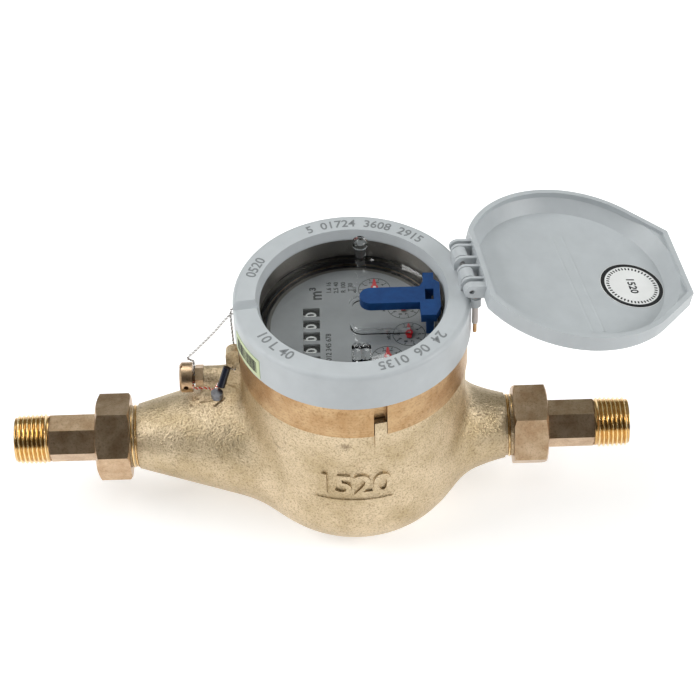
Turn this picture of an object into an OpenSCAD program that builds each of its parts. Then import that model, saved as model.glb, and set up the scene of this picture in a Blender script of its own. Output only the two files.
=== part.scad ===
// Multi-jet water meter: cast brass body, register under a clear lens, hinged lid and screwed connectors.
// Millimetres, +Z up. The dial axis is Z, the base stands on Z = 0, and water flows along +X.

/* [Body] */
// Height of the pipe axis above the base
flow_height = 31; // [28:0.5:36]
// Outer radius of the bowl
bowl_radius = 45; // [44:0.25:47]
// Wall of the bowl
bowl_wall = 4.5; // [3:0.25:6]
// Radius of the rounded bottom edge
base_corner = 24; // [18:0.5:26]
// Height of the bowl, up to the shoulder under the head ring
bowl_height = 74; // [72:0.5:80]
// Outer radius of the neck that carries the head ring
neck_radius = 41.4; // [41:0.1:42.5]
// Height of the neck above the shoulder
neck_height = 10.5; // [8:0.5:14]
// Bore of the neck, around the register
neck_bore = 37; // [36:0.1:38]
// Distance from the dial axis to the inlet face
inlet_reach = 97.2; // [94:0.1:110]
// Distance from the dial axis to the outlet face
outlet_reach = 69.6; // [69:0.1:84]
// Radius of the inlet cone at the side of the bowl
inlet_cone_radius = 29.5; // [24:0.5:30]
// Radius of the outlet neck at the side of the bowl
outlet_flare_radius = 22.5; // [18:0.5:24]
// Hollow of the outlet neck's curve below a straight cone
outlet_flare_sag = 1; // [0.5:0.1:2]
// Radius of the water way in the body
water_radius = 8; // [6.5:0.25:8.5]

/* [Connectors] */
// Radius of the body's screwed ends, at half the depth of the thread
spigot_radius = 12.64; // [12:0.05:13.5]
// Screwed length that the union nut covers, inside the body's end face
nut_grip = 4.7; // [3:0.1:6]
// Bare thread between the nut and the body
spare_thread = 3.4; // [2:0.1:6]
// Length of a union nut
nut_length = 14; // [13.5:0.25:20]
// Union nut across its flats
nut_flats = 31; // [30:0.25:36]
// Turn of the inlet nut
inlet_nut_turn = 46; // [0:1:60]
// Turn of the outlet nut
outlet_nut_turn = 39; // [0:1:60]
// Thickness of the flat gaskets
union_gasket = 2; // [1:0.25:3]
// Radius of a tailpiece's collar
collar_radius = 12; // [11.5:0.1:12.3]
// Thickness of a tailpiece's collar
collar_length = 3; // [2:0.25:4]
// Tailpiece shank across its flats
shank_flats = 17; // [16:0.25:17.25]
// Length of the hexagon shank
shank_length = 19.3; // [14:0.1:24]
// Turn of the inlet shank
inlet_shank_turn = 34; // [0:1:60]
// Turn of the outlet shank
outlet_shank_turn = 23; // [0:1:60]
// Radius of the tapered thread over its crests
thread_radius = 10.48; // [9.5:0.02:11]
// Length of the tapered thread
thread_length = 14.1; // [11:0.1:18]
// Bore of the tailpieces
tail_bore = 6.8; // [5.5:0.1:7.2]

/* [Head ring and cover] */
// Outer radius of the brass head ring
head_radius = 45.6; // [45:0.1:46.4]
// Top of the head ring's skirt above the shoulder
head_skirt = 17; // [16.8:0.1:20]
// Height of the collar inside the cover ring
head_collar = 12.5; // [8:0.25:13.5]
// Outer radius of that collar
head_collar_radius = 42; // [41.2:0.1:43]
// Window of the head ring above the lens
head_window = 37.8; // [37.5:0.1:38.4]
// Outer radius of the grey cover ring
cover_radius = 46.8; // [46.2:0.1:49]
// Height of the cover ring
cover_height = 16.8; // [15:0.2:20]
// Rounding of the cover ring's outer top edge
cover_round = 2; // [1.5:0.25:4.5]
// Inner radius of the cover ring
cover_window = 36.4; // [35.5:0.1:37]
// Width of the bevel inside the cover ring
cover_bevel = 1.4; // [1:0.1:3]
// Direction of the pull notch on the cover ring
notch_angle = 186; // [182:1:192]
// Width of the pull notch
notch_width = 5; // [3:0.25:8]

/* [Lid] */
// Direction of the hinge from the dial axis
hinge_angle = 9.5; // [0:0.5:20]
// Distance of the hinge axis from the dial axis
hinge_reach = 45; // [44.5:0.1:46]
// Height of the hinge axis above the cover ring
hinge_rise = 4.5; // [4:0.1:6]
// Radius of the hinge knuckles
knuckle_radius = 3; // [2.4:0.1:3.4]
// Radius of the hinge pin
hinge_pin_radius = 1; // [0.7:0.05:1.3]
// Length of a knuckle on the cover ring
knuckle_length = 5.2; // [4:0.1:6]
// How far the lid stands open
lid_open = 191; // [90:0.5:192]
// Radius of the lid's rim
lid_radius = 44.3; // [43.5:0.1:45]
// Distance of the straight wall at the hinge from the hinge axis
lid_hinge_gap = 5.3; // [4.5:0.1:6]
// Distance of the finger lip from the dial axis
lip_reach = 44.6; // [44.4:0.1:46]
// Half the length of the finger lip
lip_half = 18.8; // [12:0.1:19]
// Depth of the lid's inside
lid_depth = 7.4; // [5:0.1:9]
// Radius of the flat floor inside the lid
lid_floor_radius = 38.2; // [36:0.1:40]
// Wall of the lid
lid_wall = 2; // [1.2:0.1:2.6]
// Thickness of the lid's top
lid_top = 2; // [1.2:0.1:3]
// Radius of the raised field on the lid's top
lid_field = 40; // [34:0.5:41]
// Radius of the round sticker inside the lid
sticker_radius = 13; // [9:0.2:13.4]
// Distance of the sticker from the lid's centre
sticker_reach = 24.8; // [18:0.1:26]
// Direction of the sticker from the lid's centre
sticker_angle = 195; // [180:1:220]

/* [Lens and dial] */
// Thickness of the lens gasket
lens_gasket = 1.5; // [1:0.1:2]
// Outer radius of the lens flange
lens_flange_radius = 41.2; // [40.5:0.1:41.4]
// Thickness of the lens flange
lens_flange = 3.5; // [2.5:0.1:4]
// Thickness of the slip ring
slip_ring_height = 1; // [0.6:0.1:1.5]
// Outer radius of the lens dome
lens_radius = 37.2; // [36.9:0.05:37.3]
// Height of the lens face above its flange
lens_rise = 5.1; // [4.6:0.1:6]
// Thickness of the lens face
lens_face = 4; // [3:0.1:4.3]
// Radius of the hollow under the lens
lens_hollow = 34.5; // [34.3:0.1:35]
// Height of the tall lens post
post_height = 11.4; // [8:0.2:12]
// Radius of the tall lens post
post_radius = 2.3; // [2:0.1:2.6]
// Wall of the plug pocket on the lens
pocket_wall = 1.2; // [0.8:0.1:1.6]
// Height of the plug pocket
pocket_height = 2.2; // [1.5:0.1:4]
// Outer width of the plug pocket
pocket_width = 20.4; // [16:0.2:24]
// Length of the plug pocket
pocket_length = 25; // [20:0.5:26]
// Distance from the dial's face up to the lens
dial_gap = 2; // [1.8:0.1:2.2]
// Radius of the dial plate
dial_radius = 32.6; // [32:0.1:32.9]
// Thickness of the dial plate
dial_plate_height = 1; // [0.6:0.1:1.4]

/* [Counter] */
// Distance from the number rollers' shaft to the dial axis
roller_offset = 16.3; // [15:0.1:17]
// Radius of a number roller
roller_radius = 6.6; // [5:0.1:6.8]
// Width of a number roller
roller_width = 5.6; // [4.5:0.1:6]
// Spacing of the number rollers
roller_pitch = 6.8; // [6.4:0.1:7]
// Place of the middle roller along the shaft
roller_middle = -5.2; // [-6:0.1:-4]
// Radius of the rollers' shaft
roller_shaft_radius = 1; // [0.7:0.05:1.4]
// Opening of a number window across the roller
window_length = 6.6; // [5:0.1:7]
// Opening of a number window along the shaft
window_width = 4.8; // [4:0.1:5.2]
// Distance of the pointers from the dial axis
pointer_circle = 22.8; // [22.4:0.1:23]
// Direction of the first pointer
pointer_start = -54; // [-58:1:-50]
// Angle between pointers
pointer_step = 40; // [39:0.5:41]
// Length of a pointer from its centre
pointer_length = 5; // [3:0.1:6]
// Radius of the arbors
arbor_radius = 0.6; // [0.4:0.05:0.9]
// Distance of the idler arbors from the dial axis
idler_circle = 16; // [15.8:0.1:16.4]
// Thickness of a gear wheel
gear_height = 1.6; // [1:0.1:1.8]
// Rise from one gear level to the next
gear_level = 2.2; // [2.1:0.1:2.3]

/* [Measuring chamber] */
// Gap between the strainer and the bowl's wall
strainer_gap = 8.5; // [8:0.1:9]
// Gap between the chamber and the outside of the strainer
chamber_gap = 2.6; // [2.5:0.1:4]
// Wall of the chamber
chamber_wall = 1.6; // [1.2:0.1:2]
// Height of the chamber's floor above the base
chamber_floor = 12; // [11.5:0.25:13]
// Height of the chamber above its floor
chamber_height = 35; // [32:0.5:36]
// Number of jets round the chamber
jets = 12; // [8:1:16]
// Gap between the impeller's blades and the chamber's wall
impeller_gap = 2.8; // [1.8:0.1:7]
// Number of impeller blades
blades = 8; // [6:1:12]
// Radius of the impeller's spindle
spindle_radius = 1.2; // [1:0.05:1.5]
// Number of slots round the strainer
strainer_slots = 20; // [12:1:28]

/* [Adjuster and seals] */
// Height of the adjusting screw above the pipe axis
adjuster_rise = 28; // [27:0.25:30]
// Offset of the adjusting screw behind the pipe axis
adjuster_offset = 5.5; // [3:0.25:6]
// Radius of the adjuster boss
boss_radius = 4.6; // [4:0.1:5.5]
// Length of the boss beyond the side of the bowl
boss_length = 16; // [13:0.25:19]
// Radius of the screw's shank
screw_radius = 2.5; // [2:0.1:3]
// Radius of the screw's head
screw_head_radius = 6.2; // [5.2:0.1:6.4]
// Length of the screw's head
screw_head_length = 5.2; // [4:0.1:6]
// Thickness of the sealing ear
ear_thickness = 4; // [3:0.1:4.4]
// Distance of the ear's hole from the side of the head ring or the bowl
ear_gap = 1.9; // [1.5:0.1:3]
// Height of the ear's hole above the shoulder
ear_hole_drop = 2.8; // [2:0.1:4]
// Radius of the sealing wire
wire_radius = 0.45; // [0.3:0.05:0.5]
// Radius of the white lead
lead_radius = 1.2; // [0.9:0.05:1.3]

/* [Hidden] */
$fn = 96;
// Clearance between pieces that are screwed or laid together
loose_gap = 0.3;
// Clearance of a running fit
running_gap = 0.05;
// Overlap that joins two solids of one piece
weld = 0.2;
// Length by which a cut runs past a face
past = 1;

// Heights in the stack from the shoulder up to the cover ring
neck_top = bowl_height + neck_height;
lens_seat = neck_top + lens_gasket;
flange_top = lens_seat + lens_flange;
head_shoulder = flange_top + slip_ring_height;
lens_top = flange_top + lens_rise;
lens_underside = lens_top - lens_face;
head_top = bowl_height + head_skirt;
collar_top = head_top + head_collar;
cover_bottom = head_top + weld;
cover_top = cover_bottom + cover_height;
dial_top = lens_underside - dial_gap;
dial_bottom = dial_top - dial_plate_height;

// Inside of the body
floor_height = 5;
flat_radius = bowl_radius - base_corner;
gallery_radius = bowl_radius - bowl_wall;
strainer_radius = gallery_radius - strainer_gap;
chamber_radius = strainer_radius - chamber_gap;
web_bottom = flow_height + 0.2;
web_thickness = 3.2;
web_top = web_bottom + web_thickness;
web_bore = chamber_radius + 0.4;
ledge_top = bowl_height - 13;
ledge_thickness = 3;
ledge_bore = neck_bore - 2;
end_shoulder = 0.8;
bend_drop = 11.5;
bend_run = 30;

// Unions: places along the pipe, counted from the body's end face
collar_seat = union_gasket;
lip_seat = collar_seat + collar_length + loose_gap;
nut_face = nut_length - nut_grip;
nut_lip = nut_face - lip_seat;
shank_start = nut_face + loose_gap;
thread_start = shank_start + shank_length;
tail_end = thread_start + thread_length;
shank_corner = shank_flats / 2 / cos(30);
nut_bore = spigot_radius + loose_gap;
nut_window = shank_corner + 0.4;
thread_chamfer = 1.2;

// Posts on the lens
post_side = 4;
post_back = 33;
post_head = 2.4;
twin_side = 1.3;
twin_pitch = 3.4;
twin_front = 23.5;
twin_radius = 2.1;
twin_height = 7;

// Sensor plug: places along it from the dial axis, and across it
plug_tip = 3;
plug_half = 4.5;
plug_thickness = 3.8;
plug_side = 0.8;
plug_shoulder = 26.5;
plug_wing = [28.2, 32.4];
plug_end = 34.6;
plug_back = [7.5, 12.3, 8.5, 6.5];
plug_front = [7, 11.8];
plug_hole = [28.7, 3.4, 6];
plug_leg = 3;
plug_legs = [-10.5, 7.5];

// Register inside the neck
cup_floor = 2;
cup_floor_top = ledge_top + cup_floor;
cup_rebate = 0.1;
cup_wall_inner = dial_radius - 0.7;
cup_wall_outer = lens_hollow - 0.5;
cup_base_radius = neck_bore - 0.4;
bearing_depth = 1.2;
roller_axis_height = dial_bottom - 0.4 - roller_radius;
rollers = 5;
cheek = 1.5;
roller_row = roller_pitch * (rollers - 1) + roller_width;
roller_bore = roller_shaft_radius + running_gap;

// Wheelwork: the spindle drives idler 1, which drives arbor 1, and so on up the levels
pointers = 4;
pinion_teeth = 8;
wheel_teeth = 32;
small_teeth = 12;
large_teeth = 30;
entry_circle = 12.8;
entry_angle = pointer_start - 27;
entry_small_teeth = 18;
first_level = cup_floor_top + 1;
arbor_top = lens_underside - 0.7;
needle_height = 0.9;

function polar(r, a) = [r * cos(a), r * sin(a)];
function arbor_place(i) = polar(pointer_circle, pointer_start + pointer_step * i);
function idler_place(i) =
  i == 0 ? polar(entry_circle, entry_angle) : polar(idler_circle, pointer_start + pointer_step * (i - 0.5));
function driver_place(i) = i == 0 ? [0, 0] : arbor_place(i - 1);
function heading(a, b) = atan2(b[1] - a[1], b[0] - a[0]);
function level(i) = first_level + gear_level * i;
function smaller_teeth(i) = i == 0 ? entry_small_teeth : small_teeth;

// Chamber and impeller
chamber_inner = chamber_radius - chamber_wall;
impeller_radius = chamber_inner - impeller_gap;
chamber_base = 2;
chamber_top = chamber_floor + chamber_height;
chamber_flange = 2;
chamber_flange_radius = chamber_radius + 3.6;
cover_disc = 2;
pivot_boss = 2.5;
pivot_radius = 0.8;
pivot_bottom = chamber_floor + 0.6;
impeller_bottom = chamber_floor + chamber_base + pivot_boss + 0.5;
pivot_top = impeller_bottom + 6;
blade_bottom = impeller_bottom + 1;
blade_top = chamber_top - 4;
hub_radius = 5;
spindle_top = level(0) + gear_height + 0.8;
strainer_wall = 1.2;
corner_inner = base_corner - bowl_wall;
strainer_bottom = floor_height + corner_inner + loose_gap
  - sqrt(pow(corner_inner, 2) - pow(strainer_radius - flat_radius, 2));
strainer_top = web_bottom - loose_gap;

// Slot of the head ring and the body's lug in it
lug_angle = -77.8;
lug_width = 4.8;
lug_height = 7.4;
lug_foot = 6;
lug_lift = 0.3;
slot_depth = 2.5;

// Hinge
hinge_height = cover_top + hinge_rise;
knuckle_near = 2;
knuckle_far = -10.2;
plate = 1.2;
plate_gap = 0.4;
hinge_near_end = knuckle_near + knuckle_length + plate_gap + 6;
hinge_far_end = knuckle_far - plate_gap - 4;
lid_rim = cover_top + loose_gap;
lid_floor = lid_rim + lid_depth;
lid_field_rise = 1.6;
lid_lip_depth = 1.4;
lid_shoulder = lid_floor + lid_top - lid_field_rise;
lid_edge = 1.2;
chord = hinge_reach - lid_hinge_gap;

// Adjuster
adjuster_height = flow_height + adjuster_rise;
boss_reach = bowl_radius + boss_length;
lock_nut_length = 3.3;
lock_nut_corner = 5.2;
lock_nut_start = boss_reach + 0.1;
neck_start = lock_nut_start + lock_nut_length + 0.1;
wire_neck = 1;
head_start = neck_start + wire_neck;
screw_depth = 9;
cross_hole = 1;
ear_hole_height = bowl_height - ear_hole_drop;
ear_hole_radius = 1.3;
ear_reach = max(bowl_radius, head_radius) + ear_gap;
ear_top = ear_hole_height + 9.5;
ear_bottom = ear_hole_height - 10;
ear_outer = ear_reach + 3.6;

// Sealing wires, from the screw's neck to the cover ring and on to the ear
wire_hole_height = cover_top - 8;
wire_hole_side = -1.6;
tie_hole_side = 1.4;
wire_middle = head_start - wire_neck / 2;
seal_wire_route = [
  [-wire_middle, adjuster_offset, adjuster_height + screw_radius + wire_radius],
  [-wire_middle, adjuster_offset + 1.5, adjuster_height + screw_head_radius + 1.4],
  [-wire_middle - 4.1, adjuster_offset + 3.1, adjuster_height + screw_head_radius + 1.6],
  [-cover_radius - 1, wire_hole_side, wire_hole_height + 0.2],
  [-cover_radius + 2, wire_hole_side, wire_hole_height]
];
tie_wire_route = [
  [-cover_radius + 2, tie_hole_side, wire_hole_height],
  [-cover_radius - 1, tie_hole_side, wire_hole_height - 0.2],
  [-ear_reach - 0.1, ear_thickness / 2 + 1.3, ear_hole_height + 0.2],
  [-ear_reach + 0.1, -ear_thickness / 2 - 1, ear_hole_height - 0.2],
  [-ear_reach - 2, -ear_thickness / 2 - 2, ear_hole_height + 2]
];
sleeve_top = [-ear_reach - 3.1, -ear_thickness / 2 - 3, ear_hole_height + 3.2];
sleeve_bottom = [-ear_reach - 5.9, -ear_thickness / 2 - 6.4, ear_hole_height - 4.2];
sleeve_radius = 1.6;
lead_seal_place = [-ear_reach - 7.6, -ear_thickness / 2 - 8, ear_hole_height - 7];
lead_seal_radius = 2.4;
lead_seal_height = 2.6;
copper_route = [
  [-wire_middle, adjuster_offset - screw_radius - wire_radius, adjuster_height],
  [-wire_middle, adjuster_offset - 6.6, adjuster_height + 0.5],
  [-boss_reach + 1.5, adjuster_offset - 7.6, adjuster_height + 1.2],
  [-boss_reach + 4.5, adjuster_offset - 9.8, adjuster_height + 2.4],
  lead_seal_place + [0.4, 3.6, lead_seal_height / 2 + 1.2],
  lead_seal_place + [0.6, 1.4, lead_seal_height / 2 + wire_radius]
];

// White lead under the hinge
lead_angle = -4;
lead_reach = cover_radius + loose_gap + lead_radius;
lead_top = cover_top - 0.5;
lead_length = 13.5;
lead_core_radius = 0.75;
lead_tip = 5;

// Shared shapes

module tube(outer, inner, low, high) {
  translate([0, 0, low]) difference() {
    cylinder(r = outer, h = high - low);
    translate([0, 0, -past]) cylinder(r = inner, h = high - low + 2 * past);
  }
}

// Lays a shape that stands on Z along the pipe, pointing out of the inlet or the outlet
module toward(side, reach) {
  translate([side * reach, 0, flow_height]) rotate([0, side * 90, 0]) children();
}

// Lays a shape that stands on Z along the adjusting screw, pointing out
module along_adjuster(reach) {
  translate([-reach, adjuster_offset, adjuster_height]) rotate([0, -90, 0]) children();
}

// Puts a shape made round the hinge axis in its place: X points out of the dial, Y along the axis to the back
module at_hinge() {
  rotate([0, 0, hinge_angle]) translate([hinge_reach, 0, hinge_height]) children();
}

// A round bar along the hinge axis, between two places counted towards the front
module hinge_bar(r, near, far) {
  translate([0, -far, 0]) rotate([90, 0, 0]) cylinder(r = r, h = near - far);
}

// A straight round bar between two points
module bar(a, b, r) {
  run = b - a;
  translate(a) rotate([0, acos(run[2] / norm(run)), atan2(run[1], run[0])])
    cylinder(r = r, h = norm(run));
}

// A wire that follows a route, with a slightly thicker ball at each bend
module wire(route, r) {
  for (i = [0 : len(route) - 2]) bar(route[i], route[i + 1], r, $fn = 8);
  for (i = [1 : len(route) - 2]) translate(route[i]) sphere(r = r + 0.1, $fn = 8);
}

// A spur wheel with one tooth, or one gap, on the given heading
module spur(teeth, pitch_radius, aim, gap_first) {
  tooth = 360 / teeth;
  size = 2 * pitch_radius / teeth;
  root = pitch_radius - 1.15 * size;
  tip = pitch_radius + 0.7 * size;
  start = aim + (gap_first ? tooth / 2 : 0);
  linear_extrude(gear_height) polygon([
    for (i = [0 : teeth - 1], side = [-1, 1])
      each [
        polar(side < 0 ? root : tip, start + i * tooth + side * tooth * (side < 0 ? 0.26 : 0.1)),
        polar(side < 0 ? tip : root, start + i * tooth + side * tooth * (side < 0 ? 0.1 : 0.26))
      ]
  ]);
}

// Casting

module bowl_shape() {
  rotate_extrude() {
    square([flat_radius, bowl_height]);
    translate([0, base_corner]) square([bowl_radius, bowl_height - base_corner]);
    intersection() {
      translate([flat_radius, base_corner]) circle(r = base_corner);
      square([bowl_radius, bowl_height]);
    }
  }
}

module bowl_cavity() {
  rotate_extrude() {
    translate([0, floor_height]) square([flat_radius, web_bottom - floor_height]);
    translate([0, floor_height + corner_inner])
      square([gallery_radius, web_bottom - floor_height - corner_inner]);
    intersection() {
      translate([flat_radius, floor_height + corner_inner]) circle(r = corner_inner);
      translate([0, floor_height]) square([gallery_radius, web_bottom - floor_height]);
    }
    translate([0, web_bottom - past]) square([web_bore, web_thickness + 2 * past]);
    translate([0, web_top]) square([gallery_radius, ledge_top - ledge_thickness - web_top]);
    translate([0, ledge_top - ledge_thickness - past]) square([ledge_bore, ledge_thickness + 2 * past]);
    translate([0, ledge_top]) square([neck_bore, neck_top - ledge_top + past]);
  }
}

// Cone of the inlet; it runs on into the bowl, and its underside stays just above the plane of the base
module inlet_cone() {
  neck = spigot_radius + end_shoulder;
  side_reach = sqrt(pow(bowl_radius, 2) - pow(inlet_cone_radius, 2));
  cone_length = inlet_reach - nut_grip - spare_thread - flat_radius;
  slope = (inlet_cone_radius - neck) / (cone_length + flat_radius - side_reach);
  intersection() {
    toward(-1, flat_radius) cylinder(r1 = neck + slope * cone_length, r2 = neck, h = cone_length);
    translate([-inlet_reach, -bowl_radius, weld]) cube([inlet_reach, 2 * bowl_radius, bowl_height]);
  }
}

// Neck of the outlet, with a hollow curve from the bowl down to the screwed end
module outlet_flare() {
  neck = spigot_radius + end_shoulder;
  side_reach = sqrt(pow(bowl_radius, 2) - pow(outlet_flare_radius, 2)) - 2 * weld;
  run = [neck - outlet_flare_radius, outlet_reach - nut_grip - spare_thread - side_reach];
  curve = pow(norm(run), 2) / 8 / outlet_flare_sag + outlet_flare_sag / 2;
  middle = [outlet_flare_radius, 0] + run / 2;
  toward(1, side_reach) rotate_extrude() difference() {
    square([outlet_flare_radius, run[1]]);
    translate(middle + [run[1], -run[0]] / norm(run) * (curve - outlet_flare_sag))
      circle(r = curve, $fn = 360);
  }
}

module spigot(side, reach) {
  length = nut_grip + spare_thread + weld;
  toward(side, reach - length) {
    cylinder(r = spigot_radius, h = length - thread_chamfer);
    translate([0, 0, length - thread_chamfer])
      cylinder(r1 = spigot_radius, r2 = spigot_radius - thread_chamfer, h = thread_chamfer);
  }
}

// Straight water way from the end face, then a narrower slope to the lower or upper gallery
module water_way(side, reach, rise) {
  bend = bend_run + strainer_radius;
  bend_room = 4;
  slope = atan2(rise, bend_run);
  toward(side, bend - bend_room) cylinder(r = water_radius, h = reach - bend + bend_room + past);
  translate([side * bend, 0, flow_height]) rotate([0, -side * (90 - slope), 0])
    cylinder(r = water_radius - 0.4, h = norm([bend_run, rise]));
}

module adjuster_boss() {
  along_adjuster(gallery_radius) cylinder(r = boss_radius, h = boss_reach - gallery_radius);
  web = boss_radius * 1.5;
  translate([-boss_reach + 2, adjuster_offset - web / 2, flow_height])
    cube([boss_reach - 2 - gallery_radius, web, adjuster_rise]);
}

// Drilled ear for the sealing wire, with room for the head ring beside it
module sealing_ear() {
  round = ear_outer - ear_reach;
  difference() {
    translate([-ear_reach, ear_thickness / 2, 0]) rotate([90, 0, 0]) linear_extrude(ear_thickness) {
      translate([0, ear_top - round]) circle(r = round);
      translate([-round, ear_bottom]) square([2 * round, ear_top - ear_bottom - round]);
      translate([0, ear_bottom]) square([ear_reach - gallery_radius, bowl_height - weld - ear_bottom]);
    }
    translate([0, 0, bowl_height - weld]) cylinder(r = head_radius + loose_gap, h = head_skirt);
  }
}

// Lug that stands in the lower half of the head ring's slot and keeps the ring from turning back
module stop_lug() {
  inner = head_radius - slot_depth + loose_gap;
  outer = head_radius + lug_lift;
  rotate([0, 0, lug_angle]) {
    translate([gallery_radius, -lug_width / 2, bowl_height - lug_foot])
      cube([outer - gallery_radius, lug_width, lug_foot - weld]);
    translate([inner, -lug_width / 2, bowl_height - 2 * weld])
      cube([outer - inner, lug_width, lug_height + 2 * weld]);
  }
}

module meter_body() {
  color("darkkhaki") difference() {
    union() {
      bowl_shape();
      translate([0, 0, bowl_height - weld]) cylinder(r = neck_radius, h = neck_height + weld);
      inlet_cone();
      outlet_flare();
      spigot(-1, inlet_reach);
      spigot(1, outlet_reach);
      adjuster_boss();
      sealing_ear();
      stop_lug();
    }
    bowl_cavity();
    water_way(-1, inlet_reach, -bend_drop);
    water_way(1, outlet_reach, bend_drop);
    along_adjuster(boss_reach - screw_depth) cylinder(r = screw_radius + running_gap, h = screw_depth + past);
    translate([-ear_reach, ear_thickness, ear_hole_height]) rotate([90, 0, 0])
      cylinder(r = ear_hole_radius, h = 2 * ear_thickness);
  }
}

// Head ring and cover

module head_ring() {
  color("peru") difference() {
    rotate_extrude() {
      translate([neck_radius + loose_gap, bowl_height + weld])
        square([head_radius - neck_radius - loose_gap, head_skirt - weld]);
      translate([head_window, head_shoulder])
        square([head_collar_radius - head_window, collar_top - head_shoulder]);
    }
    rotate([0, 0, lug_angle]) translate([head_radius - slot_depth, -lug_width / 2 - loose_gap, bowl_height])
      cube([2 * slot_depth, lug_width + 2 * loose_gap, head_skirt + past]);
  }
}

module cover_profile() {
  difference() {
    union() {
      translate([cover_window, cover_bottom])
        square([cover_radius - cover_window, cover_height - cover_round]);
      translate([cover_window, cover_bottom])
        square([cover_radius - cover_round - cover_window, cover_height]);
      translate([cover_radius - cover_round, cover_top - cover_round]) circle(r = cover_round);
    }
    translate([0, cover_bottom - past])
      square([head_collar_radius + weld, collar_top + 0.1 - cover_bottom + past]);
    polygon([
      [cover_window - past, collar_top + weld],
      [cover_window, collar_top + weld + 0.6],
      [cover_window + cover_bevel, cover_top],
      [cover_window + cover_bevel, cover_top + past],
      [cover_window - past, cover_top + past]
    ]);
  }
}

module cover_knuckle(near_end) {
  foot = cover_radius - hinge_reach + 0.8;
  at_hinge() {
    hinge_bar(knuckle_radius, near_end + knuckle_length, near_end);
    translate([-knuckle_radius, -near_end - knuckle_length, -hinge_rise - cover_round])
      cube([foot + knuckle_radius, knuckle_length, hinge_rise + cover_round]);
  }
}

module cover_ring() {
  notch_depth = 1.5;
  color("lightgray") difference() {
    union() {
      rotate_extrude() cover_profile();
      cover_knuckle(knuckle_near);
      cover_knuckle(knuckle_far);
      lead_boss();
    }
    at_hinge() hinge_bar(hinge_pin_radius, hinge_near_end + past, hinge_far_end - past);
    rotate([0, 0, notch_angle]) translate([cover_window, 0, cover_top]) rotate([0, 90, 0])
      cylinder(r = notch_width / 2, h = cover_radius, $fn = 4);
    for (y = [wire_hole_side, tie_hole_side])
      translate([-cover_radius - past, y, wire_hole_height]) rotate([0, 90, 0])
        cylinder(r = wire_radius + 0.25, h = 3.4 + past);
    rotate([0, 0, lead_angle]) translate([lead_reach, 0, lead_top - 4 - past])
      cylinder(r = lead_radius, h = 4 + 2 * past);
  }
}

// Small socket that holds the white lead under the hinge
module lead_boss() {
  wall = 1.1;
  rotate([0, 0, lead_angle]) {
    translate([lead_reach, 0, lead_top - 4]) cylinder(r = lead_radius + wall, h = 4);
    translate([cover_radius - cover_round, -lead_radius - wall, lead_top - 4])
      cube([cover_round + lead_radius, 2 * (lead_radius + wall), 4 - cover_round / 4]);
  }
}

// Lid, made shut over the cover ring and then swung open about the hinge

// Outline of the lid with the finger lip, drawn in by the given inset
module lid_outline(inset) {
  r = lid_radius - inset;
  corner = [-lip_reach + inset, lip_half - inset / 2];
  touch = acos(r / norm(corner));
  far = atan2(corner[1], corner[0]) - touch;
  intersection() {
    union() {
      circle(r = r);
      polygon([corner, polar(r, far), polar(r, -far), [corner[0], -corner[1]]]);
    }
    translate([-2 * lid_radius, -2 * lid_radius]) square([2 * lid_radius + chord - inset, 4 * lid_radius]);
  }
}

module lid_plate(near, far) {
  at_lid_hinge() {
    hinge_bar(knuckle_radius, near, far);
    translate([-lid_hinge_gap - weld, -near, -knuckle_radius])
      cube([lid_hinge_gap + weld, near - far, 2 * knuckle_radius]);
  }
}

module at_lid_hinge() {
  translate([hinge_reach, 0, hinge_height]) children();
}

module lid_shut() {
  difference() {
    union() {
      translate([0, 0, lid_rim]) linear_extrude(lid_shoulder - lid_rim - lid_edge) lid_outline(0);
      translate([0, 0, lid_shoulder - lid_edge - weld])
        linear_extrude(lid_edge / 2 + weld) lid_outline(lid_edge / 3);
      translate([0, 0, lid_shoulder - lid_edge - weld]) linear_extrude(lid_edge + weld) lid_outline(lid_edge);
      translate([0, 0, lid_floor - weld]) intersection() {
        cylinder(r = lid_field, h = lid_top + weld);
        translate([-2 * lid_radius, -lid_radius, 0])
          cube([2 * lid_radius + chord - lid_wall, 2 * lid_radius, lid_top + 1]);
      }
      lid_plate(hinge_near_end, hinge_near_end - 3);
      lid_plate(knuckle_near + knuckle_length + plate_gap + plate, knuckle_near + knuckle_length + plate_gap);
      lid_plate(knuckle_near - plate_gap, knuckle_near - plate_gap - plate);
      lid_plate(knuckle_far + knuckle_length + plate_gap + plate, knuckle_far + knuckle_length + plate_gap);
      lid_plate(knuckle_far - plate_gap, knuckle_far - plate_gap - plate);
      lid_plate(hinge_far_end + plate, hinge_far_end);
    }
    translate([0, 0, lid_rim - past]) linear_extrude(lid_lip_depth + past) lid_outline(lid_wall);
    intersection() {
      translate([0, 0, lid_rim]) linear_extrude(lid_depth) lid_outline(lid_wall);
      translate([0, 0, lid_rim + lid_lip_depth - weld])
        cylinder(r1 = lid_radius - lid_wall / 2, r2 = lid_floor_radius, h = lid_depth - lid_lip_depth + weld);
    }
    at_lid_hinge() hinge_bar(hinge_pin_radius + running_gap, hinge_near_end + past, hinge_far_end - past);
  }
}

module swing_open() {
  at_hinge() rotate([0, lid_open, 0]) translate([-hinge_reach, 0, -hinge_height]) children();
}

module lid() {
  color("silver") swing_open() lid_shut();
}

module lid_sticker() {
  thickness = 0.2;
  color("white") swing_open()
    translate(concat(polar(sticker_reach, sticker_angle), lid_floor - thickness))
      cylinder(r = sticker_radius, h = thickness);
}

module hinge_pin() {
  color("dimgray") at_hinge() hinge_bar(hinge_pin_radius, hinge_near_end - 1.2, hinge_far_end + 0.2);
}

module side_label() {
  thickness = 0.25;
  color("palegreen") rotate([0, 0, 195]) rotate_extrude(angle = 24)
    translate([cover_radius, cover_bottom + 0.8]) square([thickness, 9.6]);
}

// Lens and register

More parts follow.
